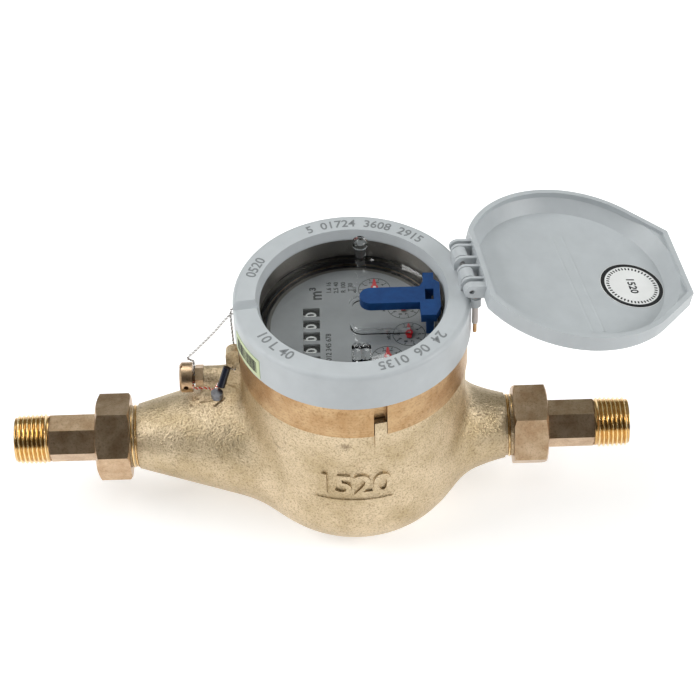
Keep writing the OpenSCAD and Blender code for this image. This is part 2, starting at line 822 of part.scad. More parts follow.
module pocket_outline(inset) {
  corner = 5 - inset;
  half = pocket_width / 2 - inset;
  translate([inset, 0]) {
    translate([corner, -half]) square([pocket_length - corner - inset, 2 * half]);
    translate([0, -half + corner]) square([pocket_length - inset, 2 * (half - corner)]);
    for (side = [-1, 1]) translate([corner, side * (half - corner)]) circle(r = corner);
  }
}

module plug_pocket() {
  translate([-1.2, 0.8, lens_top - weld]) linear_extrude(pocket_height + weld) difference() {
    pocket_outline(0);
    pocket_outline(pocket_wall);
    translate([pocket_length - pocket_wall - weld, -pocket_width]) square(2 * pocket_width);
  }
}

module lens() {
  color("azure", 0.4) {
    rotate_extrude() {
      translate([lens_hollow, lens_seat]) square([lens_flange_radius - lens_hollow, lens_flange]);
      translate([lens_hollow, lens_seat]) square([lens_radius - lens_hollow, lens_top - lens_seat]);
      translate([0, lens_underside]) square([lens_radius, lens_face]);
    }
    translate([post_side, post_back, lens_top - weld]) {
      cylinder(r = post_radius, h = post_height + weld);
      translate([0, 0, post_height + weld - post_head]) cylinder(r = post_radius + 0.7, h = post_head);
    }
    for (x = [twin_side, twin_side + twin_pitch]) translate([x, -twin_front, lens_top - weld]) {
      cylinder(r = twin_radius, h = twin_height + weld);
      translate([0, 0, twin_height + weld]) sphere(r = twin_radius, $fn = 48);
    }
    plug_pocket();
  }
}

module lens_gasket() {
  color("black") tube(lens_flange_radius, neck_bore, neck_top, lens_seat);
}

module slip_ring() {
  color("gainsboro") tube(lens_flange_radius, lens_radius + 0.4, flange_top, head_shoulder);
}

module dial_plate() {
  color("whitesmoke") difference() {
    translate([0, 0, dial_bottom]) cylinder(r = dial_radius, h = dial_plate_height);
    for (i = [0 : rollers - 1])
      translate([-roller_offset - window_length / 2, roller_y(i) - window_width / 2, dial_bottom - past])
        cube([window_length, window_width, dial_plate_height + 2 * past]);
    for (i = [0 : pointers - 1]) translate(concat(arbor_place(i), dial_bottom - past))
      cylinder(r = arbor_radius + running_gap, h = dial_plate_height + 2 * past, $fn = 24);
  }
}

module register_cup() {
  color("dimgray") difference() {
    union() {
      translate([0, 0, ledge_top]) cylinder(r = cup_base_radius, h = cup_floor);
      tube(cup_wall_outer, cup_wall_inner, cup_floor_top - weld, dial_top);
    }
    translate([0, 0, dial_bottom]) cylinder(r = dial_radius + cup_rebate, h = dial_plate_height + past);
    translate([0, 0, ledge_top - past]) cylinder(r = spindle_radius + running_gap, h = cup_floor + 2 * past);
    for (i = [0 : pointers - 1]) {
      translate(concat(arbor_place(i), cup_floor_top - bearing_depth))
        cylinder(r = arbor_radius + running_gap, h = bearing_depth + past, $fn = 24);
      translate(concat(idler_place(i), cup_floor_top - bearing_depth))
        cylinder(r = arbor_radius + running_gap, h = bearing_depth + past, $fn = 24);
    }
  }
}

// Number rollers

function roller_y(i) = roller_middle + roller_pitch * ((rollers - 1) / 2 - i);

module roller_line(low, high, r) {
  translate([-roller_offset, high, roller_axis_height]) rotate([90, 0, 0]) cylinder(r = r, h = high - low);
}

module number_roller(i) {
  color("white") difference() {
    roller_line(roller_y(i) - roller_width / 2, roller_y(i) + roller_width / 2, roller_radius);
    roller_line(roller_y(i) - roller_width, roller_y(i) + roller_width, roller_bore);
  }
}

roller_low = roller_middle - roller_row / 2 - loose_gap;
roller_high = roller_middle + roller_row / 2 + loose_gap;

module roller_frame() {
  depth = 2 * roller_radius * 0.6;
  color("gray") difference() {
    union() {
      for (y = [roller_low - cheek, roller_high])
        translate([-roller_offset - depth / 2, y, cup_floor_top])
          cube([depth, cheek, roller_axis_height + roller_shaft_radius + 2 - cup_floor_top]);
      translate([-roller_offset - depth / 2, roller_low - weld, cup_floor_top])
        cube([depth, roller_high - roller_low + 2 * weld, cheek]);
    }
    roller_line(roller_low - 2 * cheek, roller_high + 2 * cheek, roller_shaft_radius);
  }
}

module roller_shaft() {
  color("silver") roller_line(roller_low - cheek, roller_high + cheek, roller_shaft_radius);
}

// Pointers and wheelwork

module pointer(i) {
  place = arbor_place(i);
  color("crimson") translate(concat(place, arbor_top - needle_height)) difference() {
    union() {
      cylinder(r = 1.5, h = needle_height);
      linear_extrude(needle_height - 0.3)
        polygon([
          [-0.9, -2.6], [0.9, -2.6], [1.1, 0],
          [0.35, pointer_length], [-0.35, pointer_length], [-1.1, 0]
        ]);
    }
    translate([0, 0, -past]) cylinder(r = arbor_radius, h = needle_height + 2 * past, $fn = 24);
  }
}

module arbor(place, top) {
  translate(concat(place, cup_floor_top - bearing_depth + running_gap))
    cylinder(r = arbor_radius, h = top - cup_floor_top + bearing_depth - running_gap, $fn = 24);
}

// Arbor of a pointer: a wheel driven from below and, except on the last, a pinion for the next idler
module pointer_arbor(i) {
  place = arbor_place(i);
  maker = idler_place(i);
  gap = norm(place - maker);
  color("ivory") {
    arbor(place, arbor_top);
    translate(concat(place, level(2 * i + 1)))
      spur(large_teeth, gap * large_teeth / (large_teeth + smaller_teeth(i)), heading(place, maker), false);
    if (i < pointers - 1) {
      next = idler_place(i + 1);
      translate(concat(place, level(2 * i + 2)))
        spur(
          pinion_teeth, norm(next - place) * pinion_teeth / (pinion_teeth + wheel_teeth),
          heading(place, next), true
        );
    }
  }
}

// Idler: a wheel driven by the spindle or the arbor before it, and a pinion for the next arbor
module idler_arbor(i) {
  place = idler_place(i);
  maker = driver_place(i);
  taker = arbor_place(i);
  color("ivory") {
    arbor(place, level(2 * i + 1) + gear_height + 1);
    translate(concat(place, level(2 * i)))
      spur(
        wheel_teeth, norm(place - maker) * wheel_teeth / (pinion_teeth + wheel_teeth),
        heading(place, maker), false
      );
    translate(concat(place, level(2 * i + 1)))
      spur(
        smaller_teeth(i), norm(place - taker) * smaller_teeth(i) / (large_teeth + smaller_teeth(i)),
        heading(place, taker), true
      );
  }
}

// Measuring chamber

module measuring_chamber() {
  jet_height = 5;
  color("snow") difference() {
    union() {
      translate([0, 0, chamber_floor]) cylinder(r = chamber_radius, h = chamber_height);
      translate([0, 0, web_top]) cylinder(r = chamber_flange_radius, h = chamber_flange);
    }
    difference() {
      translate([0, 0, chamber_floor + chamber_base]) cylinder(r = chamber_inner, h = chamber_height);
      cylinder(r = 3, h = chamber_floor + chamber_base + pivot_boss);
    }
    translate([0, 0, pivot_bottom]) cylinder(r = pivot_radius, h = chamber_height, $fn = 24);
    for (i = [0 : jets - 1], upper = [0, 1])
      rotate([0, 0, i * 360 / jets])
        translate([chamber_inner - 12, 0, upper ? web_top + 4 : chamber_floor + 6])
        rotate([0, 0, upper ? -35 : 35]) cube([30, 3, jet_height]);
  }
}

module chamber_cover() {
  color("snow") difference() {
    union() {
      translate([0, 0, chamber_top]) cylinder(r = chamber_radius, h = cover_disc);
      translate([0, 0, chamber_top - cover_disc])
        cylinder(r = chamber_inner - running_gap, h = cover_disc + weld);
    }
    translate([0, 0, chamber_top - cover_disc - past])
      cylinder(r = spindle_radius + running_gap, h = 2 * cover_disc + 2 * past);
  }
}

module impeller() {
  blade = 1.2;
  color("beige") difference() {
    union() {
      translate([0, 0, impeller_bottom]) cylinder(r = hub_radius, h = blade_top - impeller_bottom);
      for (i = [0 : blades - 1])
        rotate([0, 0, i * 360 / blades]) translate([hub_radius - 1, -blade / 2, blade_bottom])
          cube([impeller_radius - hub_radius + 1, blade, blade_top - blade_bottom]);
      translate([0, 0, blade_top - weld]) cylinder(r = spindle_radius, h = spindle_top - blade_top + weld);
      translate([0, 0, level(0)])
        spur(
          pinion_teeth, entry_circle * pinion_teeth / (pinion_teeth + wheel_teeth),
          heading([0, 0], idler_place(0)), true
        );
    }
    translate([0, 0, impeller_bottom - past])
      cylinder(r = pivot_radius + running_gap, h = pivot_top - impeller_bottom + past + 0.2, $fn = 24);
  }
}

module pivot_pin() {
  color("silver") translate([0, 0, pivot_bottom])
    cylinder(r = pivot_radius, h = pivot_top - pivot_bottom, $fn = 24);
}

module strainer() {
  slot_bottom = strainer_bottom + 3;
  color("teal") difference() {
    translate([0, 0, strainer_bottom]) cylinder(r = strainer_radius, h = strainer_top - strainer_bottom);
    translate([0, 0, strainer_bottom + strainer_wall])
      cylinder(r = strainer_radius - strainer_wall, h = strainer_top);
    for (i = [0 : strainer_slots / 2 - 1])
      rotate([0, 0, i * 360 / strainer_slots]) translate([-2 * strainer_radius, -1.5, slot_bottom])
        cube([4 * strainer_radius, 3, strainer_top - slot_bottom - 3]);
  }
}

// Unions

module union_nut(side, reach, turn) {
  nut_corner = nut_flats / 2 / cos(30);
  bevel = nut_corner - nut_flats / 2;
  color("rosybrown") toward(side, reach - nut_grip) difference() {
    intersection() {
      rotate([0, 0, turn]) cylinder(r = nut_corner, h = nut_length, $fn = 6);
      rotate_extrude() polygon([
        [0, 0], [nut_corner - bevel / 2, 0], [nut_corner, bevel / 3], [nut_corner, nut_length - bevel / 2],
        [nut_flats / 2 - 0.6, nut_length], [0, nut_length]
      ]);
    }
    translate([0, 0, -past]) cylinder(r = nut_bore, h = nut_length - nut_lip + past);
    cylinder(r = nut_window, h = nut_length + past);
  }
}

module tailpiece(side, reach, turn) {
  color("rosybrown") toward(side, reach) difference() {
    union() {
      translate([0, 0, collar_seat]) cylinder(r = collar_radius, h = collar_length);
      translate([0, 0, collar_seat]) cylinder(r = shank_flats / 2, h = thread_start - collar_seat + weld);
      translate([0, 0, shank_start]) rotate([0, 0, turn])
        cylinder(r = shank_corner, h = shank_length, $fn = 6);
      translate([0, 0, thread_start]) {
        cylinder(r = thread_radius, h = thread_length - thread_chamfer);
        translate([0, 0, thread_length - thread_chamfer])
          cylinder(r1 = thread_radius, r2 = thread_radius - thread_chamfer, h = thread_chamfer);
      }
    }
    translate([0, 0, collar_seat - past]) cylinder(r = tail_bore, h = tail_end - collar_seat + 2 * past);
  }
}

module flat_gasket(side, reach) {
  color("darkslategray") toward(side, reach) tube(collar_radius - 0.4, water_radius + 0.4, 0, union_gasket);
}

// Adjuster and seals

module adjusting_screw() {
  bevel = 0.8;
  color("goldenrod") difference() {
    along_adjuster(boss_reach - screw_depth + loose_gap) {
      head = head_start - boss_reach + screw_depth - loose_gap;
      cylinder(r = screw_radius, h = head + weld);
      translate([0, 0, head]) cylinder(r = screw_head_radius, h = screw_head_length - bevel);
      translate([0, 0, head + screw_head_length - bevel])
        cylinder(r1 = screw_head_radius, r2 = screw_head_radius - bevel, h = bevel);
    }
    translate([-head_start - screw_head_length / 2, adjuster_offset + 2 * screw_head_radius, adjuster_height])
      rotate([90, 0, 0]) cylinder(r = cross_hole, h = 4 * screw_head_radius, $fn = 24);
    along_adjuster(head_start + screw_head_length - 1.2) translate([-screw_head_radius, -0.6, 0])
      cube([2 * screw_head_radius, 1.2, 2]);
  }
}

module lock_nut() {
  color("saddlebrown") along_adjuster(lock_nut_start) difference() {
    cylinder(r = lock_nut_corner, h = lock_nut_length, $fn = 6);
    translate([0, 0, -past]) cylinder(r = screw_radius + running_gap, h = lock_nut_length + 2 * past);
  }
}

module seal_wire() {
  color("gray") wire(seal_wire_route, wire_radius);
}

module tie_wire() {
  color("gray") wire(tie_wire_route, wire_radius);
}

module copper_wire() {
  color("indianred") wire(copper_route, wire_radius);
}

module seal_sleeve() {
  color("midnightblue") bar(sleeve_bottom, sleeve_top, sleeve_radius, $fn = 24);
}

module lead_seal() {
  color("slategray") translate(lead_seal_place - [0, 0, lead_seal_height / 2])
    cylinder(r = lead_seal_radius, h = lead_seal_height);
}

module lead_sleeve() {
  color("mistyrose") rotate([0, 0, lead_angle]) translate([lead_reach, 0, 0])
    tube(lead_radius, lead_core_radius, lead_top - lead_length, lead_top);
}

module lead_core() {
  color("gold") rotate([0, 0, lead_angle]) translate([lead_reach, 0, lead_top - lead_length - lead_tip])
    cylinder(r = lead_core_radius, h = lead_tip + lead_length);
}

module sensor_plug() {
  top = lens_top + post_height;
  under = top - plug_thickness;
  color("royalblue") translate([0, plug_side, 0]) {
    translate([0, 0, under]) linear_extrude(plug_thickness) difference() {
      union() {
        translate([plug_tip + plug_half, 0]) circle(r = plug_half);
        translate([plug_tip + plug_half, -plug_half])
          square([plug_wing[0] - plug_tip - plug_half, 2 * plug_half]);
        polygon([
          [plug_shoulder, plug_half], [plug_wing[0], plug_back[0]], [plug_wing[0], plug_back[1]],
          [plug_wing[1], plug_back[1]], [plug_wing[1], plug_back[2]], [plug_end, plug_back[3]],
          [plug_end, -plug_front[0]], [plug_wing[1] + weld, -plug_front[1]],
          [plug_shoulder + weld, -plug_front[1]], [plug_shoulder, -plug_half]
        ]);
      }
      translate([plug_hole[0], -plug_hole[2] / 2]) square([plug_hole[1], plug_hole[2]]);
    }
    for (y = plug_legs) translate([plug_hole[0], y, lens_top])
      cube([plug_leg, plug_leg, under - lens_top + weld]);
  }
}

meter_body();
head_ring();
cover_ring();
lid();
hinge_pin();
lid_sticker();
side_label();
lens();
lens_gasket();
slip_ring();
dial_plate();
register_cup();
roller_frame();
roller_shaft();
for (i = [0 : rollers - 1]) number_roller(i);
for (i = [0 : pointers - 1]) pointer(i);
for (i = [0 : pointers - 1]) pointer_arbor(i);
for (i = [0 : pointers - 1]) idler_arbor(i);
impeller();
pivot_pin();
measuring_chamber();
chamber_cover();
strainer();
union_nut(-1, inlet_reach, inlet_nut_turn);  // inlet_nut
union_nut(1, outlet_reach, outlet_nut_turn);  // outlet_nut
tailpiece(-1, inlet_reach, inlet_shank_turn);  // inlet_tailpiece
tailpiece(1, outlet_reach, outlet_shank_turn);  // outlet_tailpiece
flat_gasket(-1, inlet_reach);  // inlet_gasket
flat_gasket(1, outlet_reach);  // outlet_gasket
adjusting_screw();
lock_nut();
seal_wire();
tie_wire();
copper_wire();
seal_sleeve();
lead_seal();
sensor_plug();
lead_sleeve();
lead_core();
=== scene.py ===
import math
import bmesh
import bpy
from mathutils import Matrix, Vector


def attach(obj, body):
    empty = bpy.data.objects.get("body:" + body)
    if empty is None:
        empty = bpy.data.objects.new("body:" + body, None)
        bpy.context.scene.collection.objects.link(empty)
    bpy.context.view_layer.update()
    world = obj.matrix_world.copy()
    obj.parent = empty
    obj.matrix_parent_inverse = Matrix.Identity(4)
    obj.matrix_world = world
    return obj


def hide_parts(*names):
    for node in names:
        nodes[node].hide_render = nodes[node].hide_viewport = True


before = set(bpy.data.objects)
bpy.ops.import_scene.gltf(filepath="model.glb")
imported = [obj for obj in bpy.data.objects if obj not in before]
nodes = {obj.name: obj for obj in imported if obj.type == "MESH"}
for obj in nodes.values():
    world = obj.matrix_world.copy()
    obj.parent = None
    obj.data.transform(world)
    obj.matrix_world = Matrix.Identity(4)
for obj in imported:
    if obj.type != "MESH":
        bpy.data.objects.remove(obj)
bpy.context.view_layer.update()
mm = 0.001
scene = bpy.context.scene
print("frame loaded")


# Node trees

class Link:  # one output of a node, usable in arithmetic
    def __init__(self, graph, socket):
        self.graph = graph
        self.socket = socket

    def __add__(self, other):
        return self.graph.calc("ADD", self, other)

    def __radd__(self, other):
        return self.graph.calc("ADD", other, self)

    def __sub__(self, other):
        return self.graph.calc("SUBTRACT", self, other)

    def __rsub__(self, other):
        return self.graph.calc("SUBTRACT", other, self)

    def __mul__(self, other):
        return self.graph.calc("MULTIPLY", self, other)

    def __rmul__(self, other):
        return self.graph.calc("MULTIPLY", other, self)

    def __truediv__(self, other):
        return self.graph.calc("DIVIDE", self, other)


class Graph:
    def __init__(self, tree):
        self.tree = tree

    def plug(self, item, socket):
        if isinstance(item, Link):
            self.tree.links.new(item.socket, socket)
        else:
            socket.default_value = item

    def add(self, kind, settings=None, sockets=None, output=0):
        node = self.tree.nodes.new(kind)
        for key, value in (settings or {}).items():
            setattr(node, key, value)
        for key, item in (sockets or {}).items():
            self.plug(item, node.inputs[key])
        return Link(self, node.outputs[output]) if len(node.outputs) else node

    def calc(self, operation, *items):
        return self.add("ShaderNodeMath", {"operation": operation}, dict(enumerate(items)))

    def fold(self, operation, items):
        total = items[0]
        for item in items[1:]:
            total = self.calc(operation, total, item)
        return total

    def clamp(self, value, low, high):
        return self.add("ShaderNodeMapRange", {"clamp": True}, {0: value, 1: low, 2: high, 3: 0.0, 4: 1.0})

    def noise(self, where, scale, detail=3.0, roughness=0.5):
        sockets = {"Vector": where, "Scale": scale, "Detail": detail, "Roughness": roughness}
        return self.add("ShaderNodeTexNoise", {}, sockets)

    def blend(self, factor, first, second):
        settings = {"data_type": "RGBA"}
        return self.add("ShaderNodeMix", settings, {0: factor, 6: first, 7: second}, 2)

    def store(self, geometry, label, value):
        settings = {"data_type": "FLOAT", "domain": "POINT"}
        sockets = {"Geometry": geometry, "Name": label, "Value": value}
        return self.add("GeometryNodeStoreNamedAttribute", settings, sockets)

    def bump(self, height, strength, distance):
        sockets = {"Strength": strength, "Distance": distance, "Height": height}
        return self.add("ShaderNodeBump", {}, sockets)


def srgb(red, green, blue):
    parts = []
    for part in (red, green, blue):
        share = part / 255
        parts.append(share / 12.92 if share < 0.04045 else ((share + 0.055) / 1.055) ** 2.4)
    return (parts[0], parts[1], parts[2], 1.0)


def makeMaterial(name, constants, build):
    material = bpy.data.materials.new(name)
    material.use_nodes = True
    graph = Graph(material.node_tree)
    shader = material.node_tree.nodes["Principled BSDF"]
    for key, value in constants.items():
        shader.inputs[key].default_value = value
    where = graph.add("ShaderNodeTexCoord", {}, {}, 3)  # object coordinates
    for key, item in build(graph, where).items():
        graph.plug(item, shader.inputs[key])
    return material


def paint(material, *nodeNames):
    for nodeName in nodeNames:
        data = nodes[nodeName].data
        data.materials.clear()
        data.materials.append(material)


# Materials

# noise entries below are scale, detail and roughness
castSettings = {
    "pale": srgb(219, 200, 169), "deep": srgb(188, 168, 133), "tintRange": (0.35, 0.65),
    "stain": srgb(88, 66, 40), "stainRange": (0.62, 0.74), "stainShare": 0.8,
    "speck": srgb(122, 98, 66), "speckRange": (0.47, 0.72), "speckShare": 0.66,
    "patch": (55.0, 5.0, 0.6), "grain": (1350.0, 3.0, 0.6), "lumps": (337.5, 2.0, 0.5),
    "stains": (60.0, 9.0, 0.72), "roughness": 0.33, "relief": 0.0007,
}


def castLook(graph, where):
    own = castSettings
    patch = graph.noise(where, *own["patch"])
    grain = graph.noise(where, *own["grain"])
    lumps = graph.noise(where, *own["lumps"])
    stains = graph.noise(where, *own["stains"])
    tint = graph.blend(graph.clamp(patch, *own["tintRange"]), own["deep"], own["pale"])
    sand = graph.clamp(grain, *own["speckRange"]) * own["speckShare"]
    mark = graph.clamp(stains, *own["stainRange"]) * own["stainShare"]
    return {
        "Base Color": graph.blend(mark, graph.blend(sand, tint, own["speck"]), own["stain"]),
        "Roughness": own["roughness"] + patch * 0.12 + grain * 0.08,
        "Normal": graph.bump(grain * 0.7 + lumps * 0.8, 0.75, own["relief"]),
    }


ringSettings = {
    "pale": srgb(200, 170, 130), "deep": srgb(164, 126, 84), "tintRange": (0.38, 0.62),
    "speck": srgb(122, 88, 54), "speckRange": (0.5, 0.75), "speckShare": 0.7,
    "lines": (1600.0, 4.0, 0.7), "patch": (70.0, 5.0, 0.6), "fine": (900.0, 4.0, 0.65),
    # well colours are painted shade for the wall of the well: a dark grey, with lighter lines painted as
    # glints
    "well": (srgb(134, 130, 124), srgb(206, 202, 196)), "wellWall": (0.0379, 0.0385), "wellRange": (0.6, 0.7),
    "roughness": 0.3, "relief": 0.0003,
}


def ringLook(graph, where):
    own = ringSettings
    height = graph.add("ShaderNodeSeparateXYZ", {}, {0: where}, 2)
    turned = graph.add("ShaderNodeCombineXYZ", {}, {2: height})
    lines = graph.noise(turned, *own["lines"])
    patch = graph.noise(where, *own["patch"])
    fine = graph.noise(where, *own["fine"])
    flat = graph.add("ShaderNodeVectorMath", {"operation": "MULTIPLY"}, {0: where, 1: (1.0, 1.0, 0.0)})
    radius = graph.add("ShaderNodeVectorMath", {"operation": "LENGTH"}, {0: flat}, 1)
    outside = graph.clamp(radius, *own["wellWall"])  # 0 on the wall of the well, which gets painted shade
    # painted shade on the well wall, streaked with painted glint lines
    well = graph.blend(graph.clamp(lines, *own["wellRange"]) * 0.5, *own["well"])
    tint = graph.blend(graph.clamp(patch * 0.7 + lines * 0.3, *own["tintRange"]), own["deep"], own["pale"])
    specks = graph.clamp(fine, *own["speckRange"]) * own["speckShare"]
    return {
        "Base Color": graph.blend(outside, well, graph.blend(specks, tint, own["speck"])),
        "Roughness": own["roughness"] + lines * 0.12,
        "Normal": graph.bump(lines * 0.5 + fine, 0.5, own["relief"]),
    }


bronzeSettings = {
    "pale": srgb(214, 188, 156), "deep": srgb(182, 150, 116), "tintRange": (0.35, 0.68),
    "speck": srgb(128, 98, 68), "speckRange": (0.5, 0.75), "speckShare": 0.6,
    "lines": (1300.0, 3.0, 0.6), "patch": (140.0, 6.0, 0.65), "fine": (1200.0, 4.0, 0.7),
    "roughness": 0.24, "relief": 0.0002,
}


def bronzeLook(graph, where):
    own = bronzeSettings
    along = graph.add("ShaderNodeSeparateXYZ", {}, {0: where}, 0)
    turned = graph.add("ShaderNodeCombineXYZ", {}, {0: along})
    lines = graph.noise(turned, *own["lines"])
    patch = graph.noise(where, *own["patch"])
    fine = graph.noise(where, *own["fine"])
    tint = graph.blend(graph.clamp(patch, *own["tintRange"]), own["deep"], own["pale"])
    specks = graph.clamp(fine, *own["speckRange"]) * own["speckShare"]
    return {
        "Base Color": graph.blend(specks, tint, own["speck"]),
        "Roughness": own["roughness"] + lines * 0.08 + patch * 0.12,
        "Normal": graph.bump(lines * 0.7 + patch * 0.6 + fine, 0.4, own["relief"]),
    }


def plainLook(pale, deep, scale, roughness, relief):
    def look(graph, where):
        patch = graph.noise(where, scale, 4.0, 0.6)
        fine = graph.noise(where, scale * 9, 2.0, 0.5)
        return {
            "Base Color": graph.blend(graph.clamp(patch, 0.3, 0.7), deep, pale),
            "Roughness": roughness + patch * 0.08,
            "Normal": graph.bump(fine, 0.25, relief),
        }
    return look


# root is a darker colour painted into the thread grooves as shade
threadSettings = {"pale": srgb(252, 232, 186), "deep": srgb(236, 204, 148), "root": srgb(206, 166, 106)}


def threadLook(graph, where):
    own = threadSettings
    ridge = graph.add("ShaderNodeAttribute", {"attribute_name": "ridge"}, {}, 2)
    patch = graph.noise(where, 300.0, 4.0, 0.6)
    gold = graph.blend(graph.clamp(patch, 0.35, 0.65), own["deep"], own["pale"])
    return {
        # painted shade: the grooves take the darker root colour, the crests the gold
        "Base Color": graph.blend(graph.clamp(ridge, 0.1, 0.75), own["root"], gold),
        "Roughness": 0.18 + patch * 0.08,
    }


def pairLook(first, second):
    def look(graph, where):
        strand = graph.add("ShaderNodeAttribute", {"attribute_name": "strand"}, {}, 2)
        patch = graph.noise(where, 400.0)
        return {"Base Color": graph.blend(strand, first, second), "Roughness": 0.26 + patch * 0.1}
    return look


def metal(name, look):
    return makeMaterial(name, {"Metallic": 1.0}, look)


castBrass = metal("castBrass", castLook)
ringBrass = metal("ringBrass", ringLook)
bronze = metal("bronze", bronzeLook)
threadGold = metal("threadGold", threadLook)
steel = metal("steel", plainLook(srgb(190, 188, 186), srgb(130, 128, 126), 500.0, 0.3, 0.00003))
copper = metal("copper", pairLook(srgb(206, 96, 76), srgb(236, 222, 212)))
steelTwist = metal("steelTwist", pairLook(srgb(150, 146, 144), srgb(238, 236, 234)))
leadMetal = metal("leadMetal", plainLook(srgb(150, 150, 152), srgb(96, 96, 100), 300.0, 0.42, 0.00008))


def plastic(name, pale, deep, roughness, relief=0.00003, scale=120.0, extra=None):
    constants = {"Specular IOR Level": 0.5}
    constants.update(extra or {})
    return makeMaterial(name, constants, plainLook(pale, deep, scale, roughness, relief))


greyPlastic = plastic("greyPlastic", srgb(192, 197, 200), srgb(185, 190, 193), 0.34)
whitePlastic = plastic("whitePlastic", srgb(226, 226, 222), srgb(212, 212, 208), 0.4)
# the dial face gets a darker grey than its own pale colour: painted shade of the well under the lens
shadedDialFace = plastic("shadedDialFace", srgb(150, 152, 154), srgb(140, 142, 144), 0.5)
darkPlastic = plastic("darkPlastic", srgb(104, 100, 95), srgb(88, 85, 80), 0.4)
strainerPlastic = plastic("strainerPlastic", srgb(70, 120, 118), srgb(58, 104, 102), 0.4)
rubber = plastic("rubber", srgb(34, 34, 34), srgb(24, 24, 24), 0.7, 0.00006)
bluePlastic = plastic("bluePlastic", srgb(14, 66, 122), srgb(8, 54, 106), 0.5, 0.00006, 260.0,
                      {"Specular IOR Level": 0.25})
redPlastic = plastic("redPlastic", srgb(206, 40, 44), srgb(180, 28, 34), 0.35)
sleevePlastic = plastic("sleevePlastic", srgb(24, 28, 44), srgb(16, 19, 32), 0.2)
leadPlastic = plastic("leadPlastic", srgb(236, 226, 220), srgb(222, 208, 202), 0.3)
labelPaper = plastic("labelPaper", srgb(206, 216, 178), srgb(192, 204, 160), 0.5)
stickerPaper = plastic("stickerPaper", srgb(238, 239, 238), srgb(230, 231, 230), 0.45)
blackInk = plastic("blackInk", srgb(26, 27, 29), srgb(18, 19, 21), 0.45)
whiteInk = plastic("whiteInk", srgb(236, 236, 234), srgb(224, 224, 222), 0.5)
greyInk = plastic("greyInk", srgb(134, 138, 140), srgb(124, 128, 130), 0.5)

lensSettings = {"tint": (0.95, 0.96, 0.96, 1.0), "index": 1.49, "roughness": 0.006}


def makeLens():
    own = lensSettings
    material = bpy.data.materials.new("lensClear")
    material.use_nodes = True
    graph = Graph(material.node_tree)
    shader = material.node_tree.nodes["Principled BSDF"]
    shader.inputs["Base Color"].default_value = own["tint"]
    shader.inputs["Transmission Weight"].default_value = 1.0
    shader.inputs["IOR"].default_value = own["index"]
    where = graph.add("ShaderNodeTexCoord", {}, {}, 3)
    graph.plug(graph.noise(where, 90.0) * own["roughness"], shader.inputs["Roughness"])
    shadowRay = graph.add("ShaderNodeLightPath", {}, {}, 1)
    diffuseRay = graph.add("ShaderNodeLightPath", {}, {}, 2)
    clear = graph.add("ShaderNodeBsdfTransparent", {}, {"Color": own["tint"]})
    passing = graph.calc("MAXIMUM", shadowRay, diffuseRay)
    mixed = graph.add("ShaderNodeMixShader", {}, {0: passing, 1: Link(graph, shader.outputs[0]), 2: clear})
    graph.plug(mixed, material.node_tree.nodes["Material Output"].inputs[0])
    return material


lensClear = makeLens()

paint(castBrass, "meter_body")
paint(ringBrass, "head_ring", "lead_core")
paint(greyPlastic, "cover_ring", "lid")
paint(bronze, "inlet_nut", "outlet_nut", "inlet_tailpiece", "outlet_tailpiece")
paint(bronze, "adjusting_screw", "lock_nut")
paint(steel, "hinge_pin", "roller_shaft", "pivot_pin", "seal_wire", "tie_wire")
paint(lensClear, "lens")
paint(shadedDialFace, "dial_plate")
paint(darkPlastic, "register_cup", "roller_frame")
paint(rubber, "lens_gasket", "inlet_gasket", "outlet_gasket")
paint(whitePlastic, "slip_ring", "measuring_chamber", "chamber_cover", "impeller")
for rollerNumber in range(1, 6):
    paint(whitePlastic, "number_roller_" + str(rollerNumber))
for stageNumber in range(1, 5):
    paint(whitePlastic, "arbor_" + str(stageNumber), "idler_" + str(stageNumber))
    paint(redPlastic, "pointer_" + str(stageNumber))
paint(strainerPlastic, "strainer")
paint(copper, "copper_wire")
paint(sleevePlastic, "seal_sleeve")
paint(leadMetal, "lead_seal")
paint(bluePlastic, "sensor_plug")
paint(leadPlastic, "lead_sleeve")
paint(labelPaper, "side_label")
paint(stickerPaper, "lid_sticker")
print("materials done")


# Meshes and geometry node trees

def dress(obj, material, body, sharp=35.0):
    mesh = obj.data
    work = bmesh.new()
    work.from_mesh(mesh)
    bmesh.ops.remove_doubles(work, verts=work.verts, dist=0.000001)
    bmesh.ops.recalc_face_normals(work, faces=work.faces)
    work.to_mesh(mesh)
    work.free()
    mesh.shade_smooth()
    mesh.set_sharp_from_angle(angle=math.radians(sharp))
    mesh.materials.clear()
    mesh.materials.append(material)
    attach(obj, body)
    return obj


def makeObject(name, verts, faces, material, body):
    mesh = bpy.data.meshes.new(name)
    mesh.from_pydata([tuple(part * mm for part in vert) for vert in verts], [], faces)
    obj = bpy.data.objects.new(name, mesh)
    scene.collection.objects.link(obj)
    return dress(obj, material, body)


def growTree(name, inputs, build):
    tree = bpy.data.node_groups.new(name, "GeometryNodeTree")
    kinds = {"Geometry": "NodeSocketGeometry"}
    kinds.update(inputs)
    kinds["Material"] = "NodeSocketMaterial"
    for label, kind in kinds.items():
        tree.interface.new_socket(label, in_out="INPUT", socket_type=kind)
    tree.interface.new_socket("Result", in_out="OUTPUT", socket_type="NodeSocketGeometry")
    graph = Graph(tree)
    source = tree.nodes.new("NodeGroupInput")
    given = {label: Link(graph, source.outputs[label]) for label in kinds}
    real = graph.add("GeometryNodeRealizeInstances", {}, {0: build(graph, given)})
    coloured = graph.add("GeometryNodeSetMaterial", {}, {"Geometry": real, "Material": given["Material"]})
    graph.plug(coloured, tree.nodes.new("NodeGroupOutput").inputs[0])
    return tree


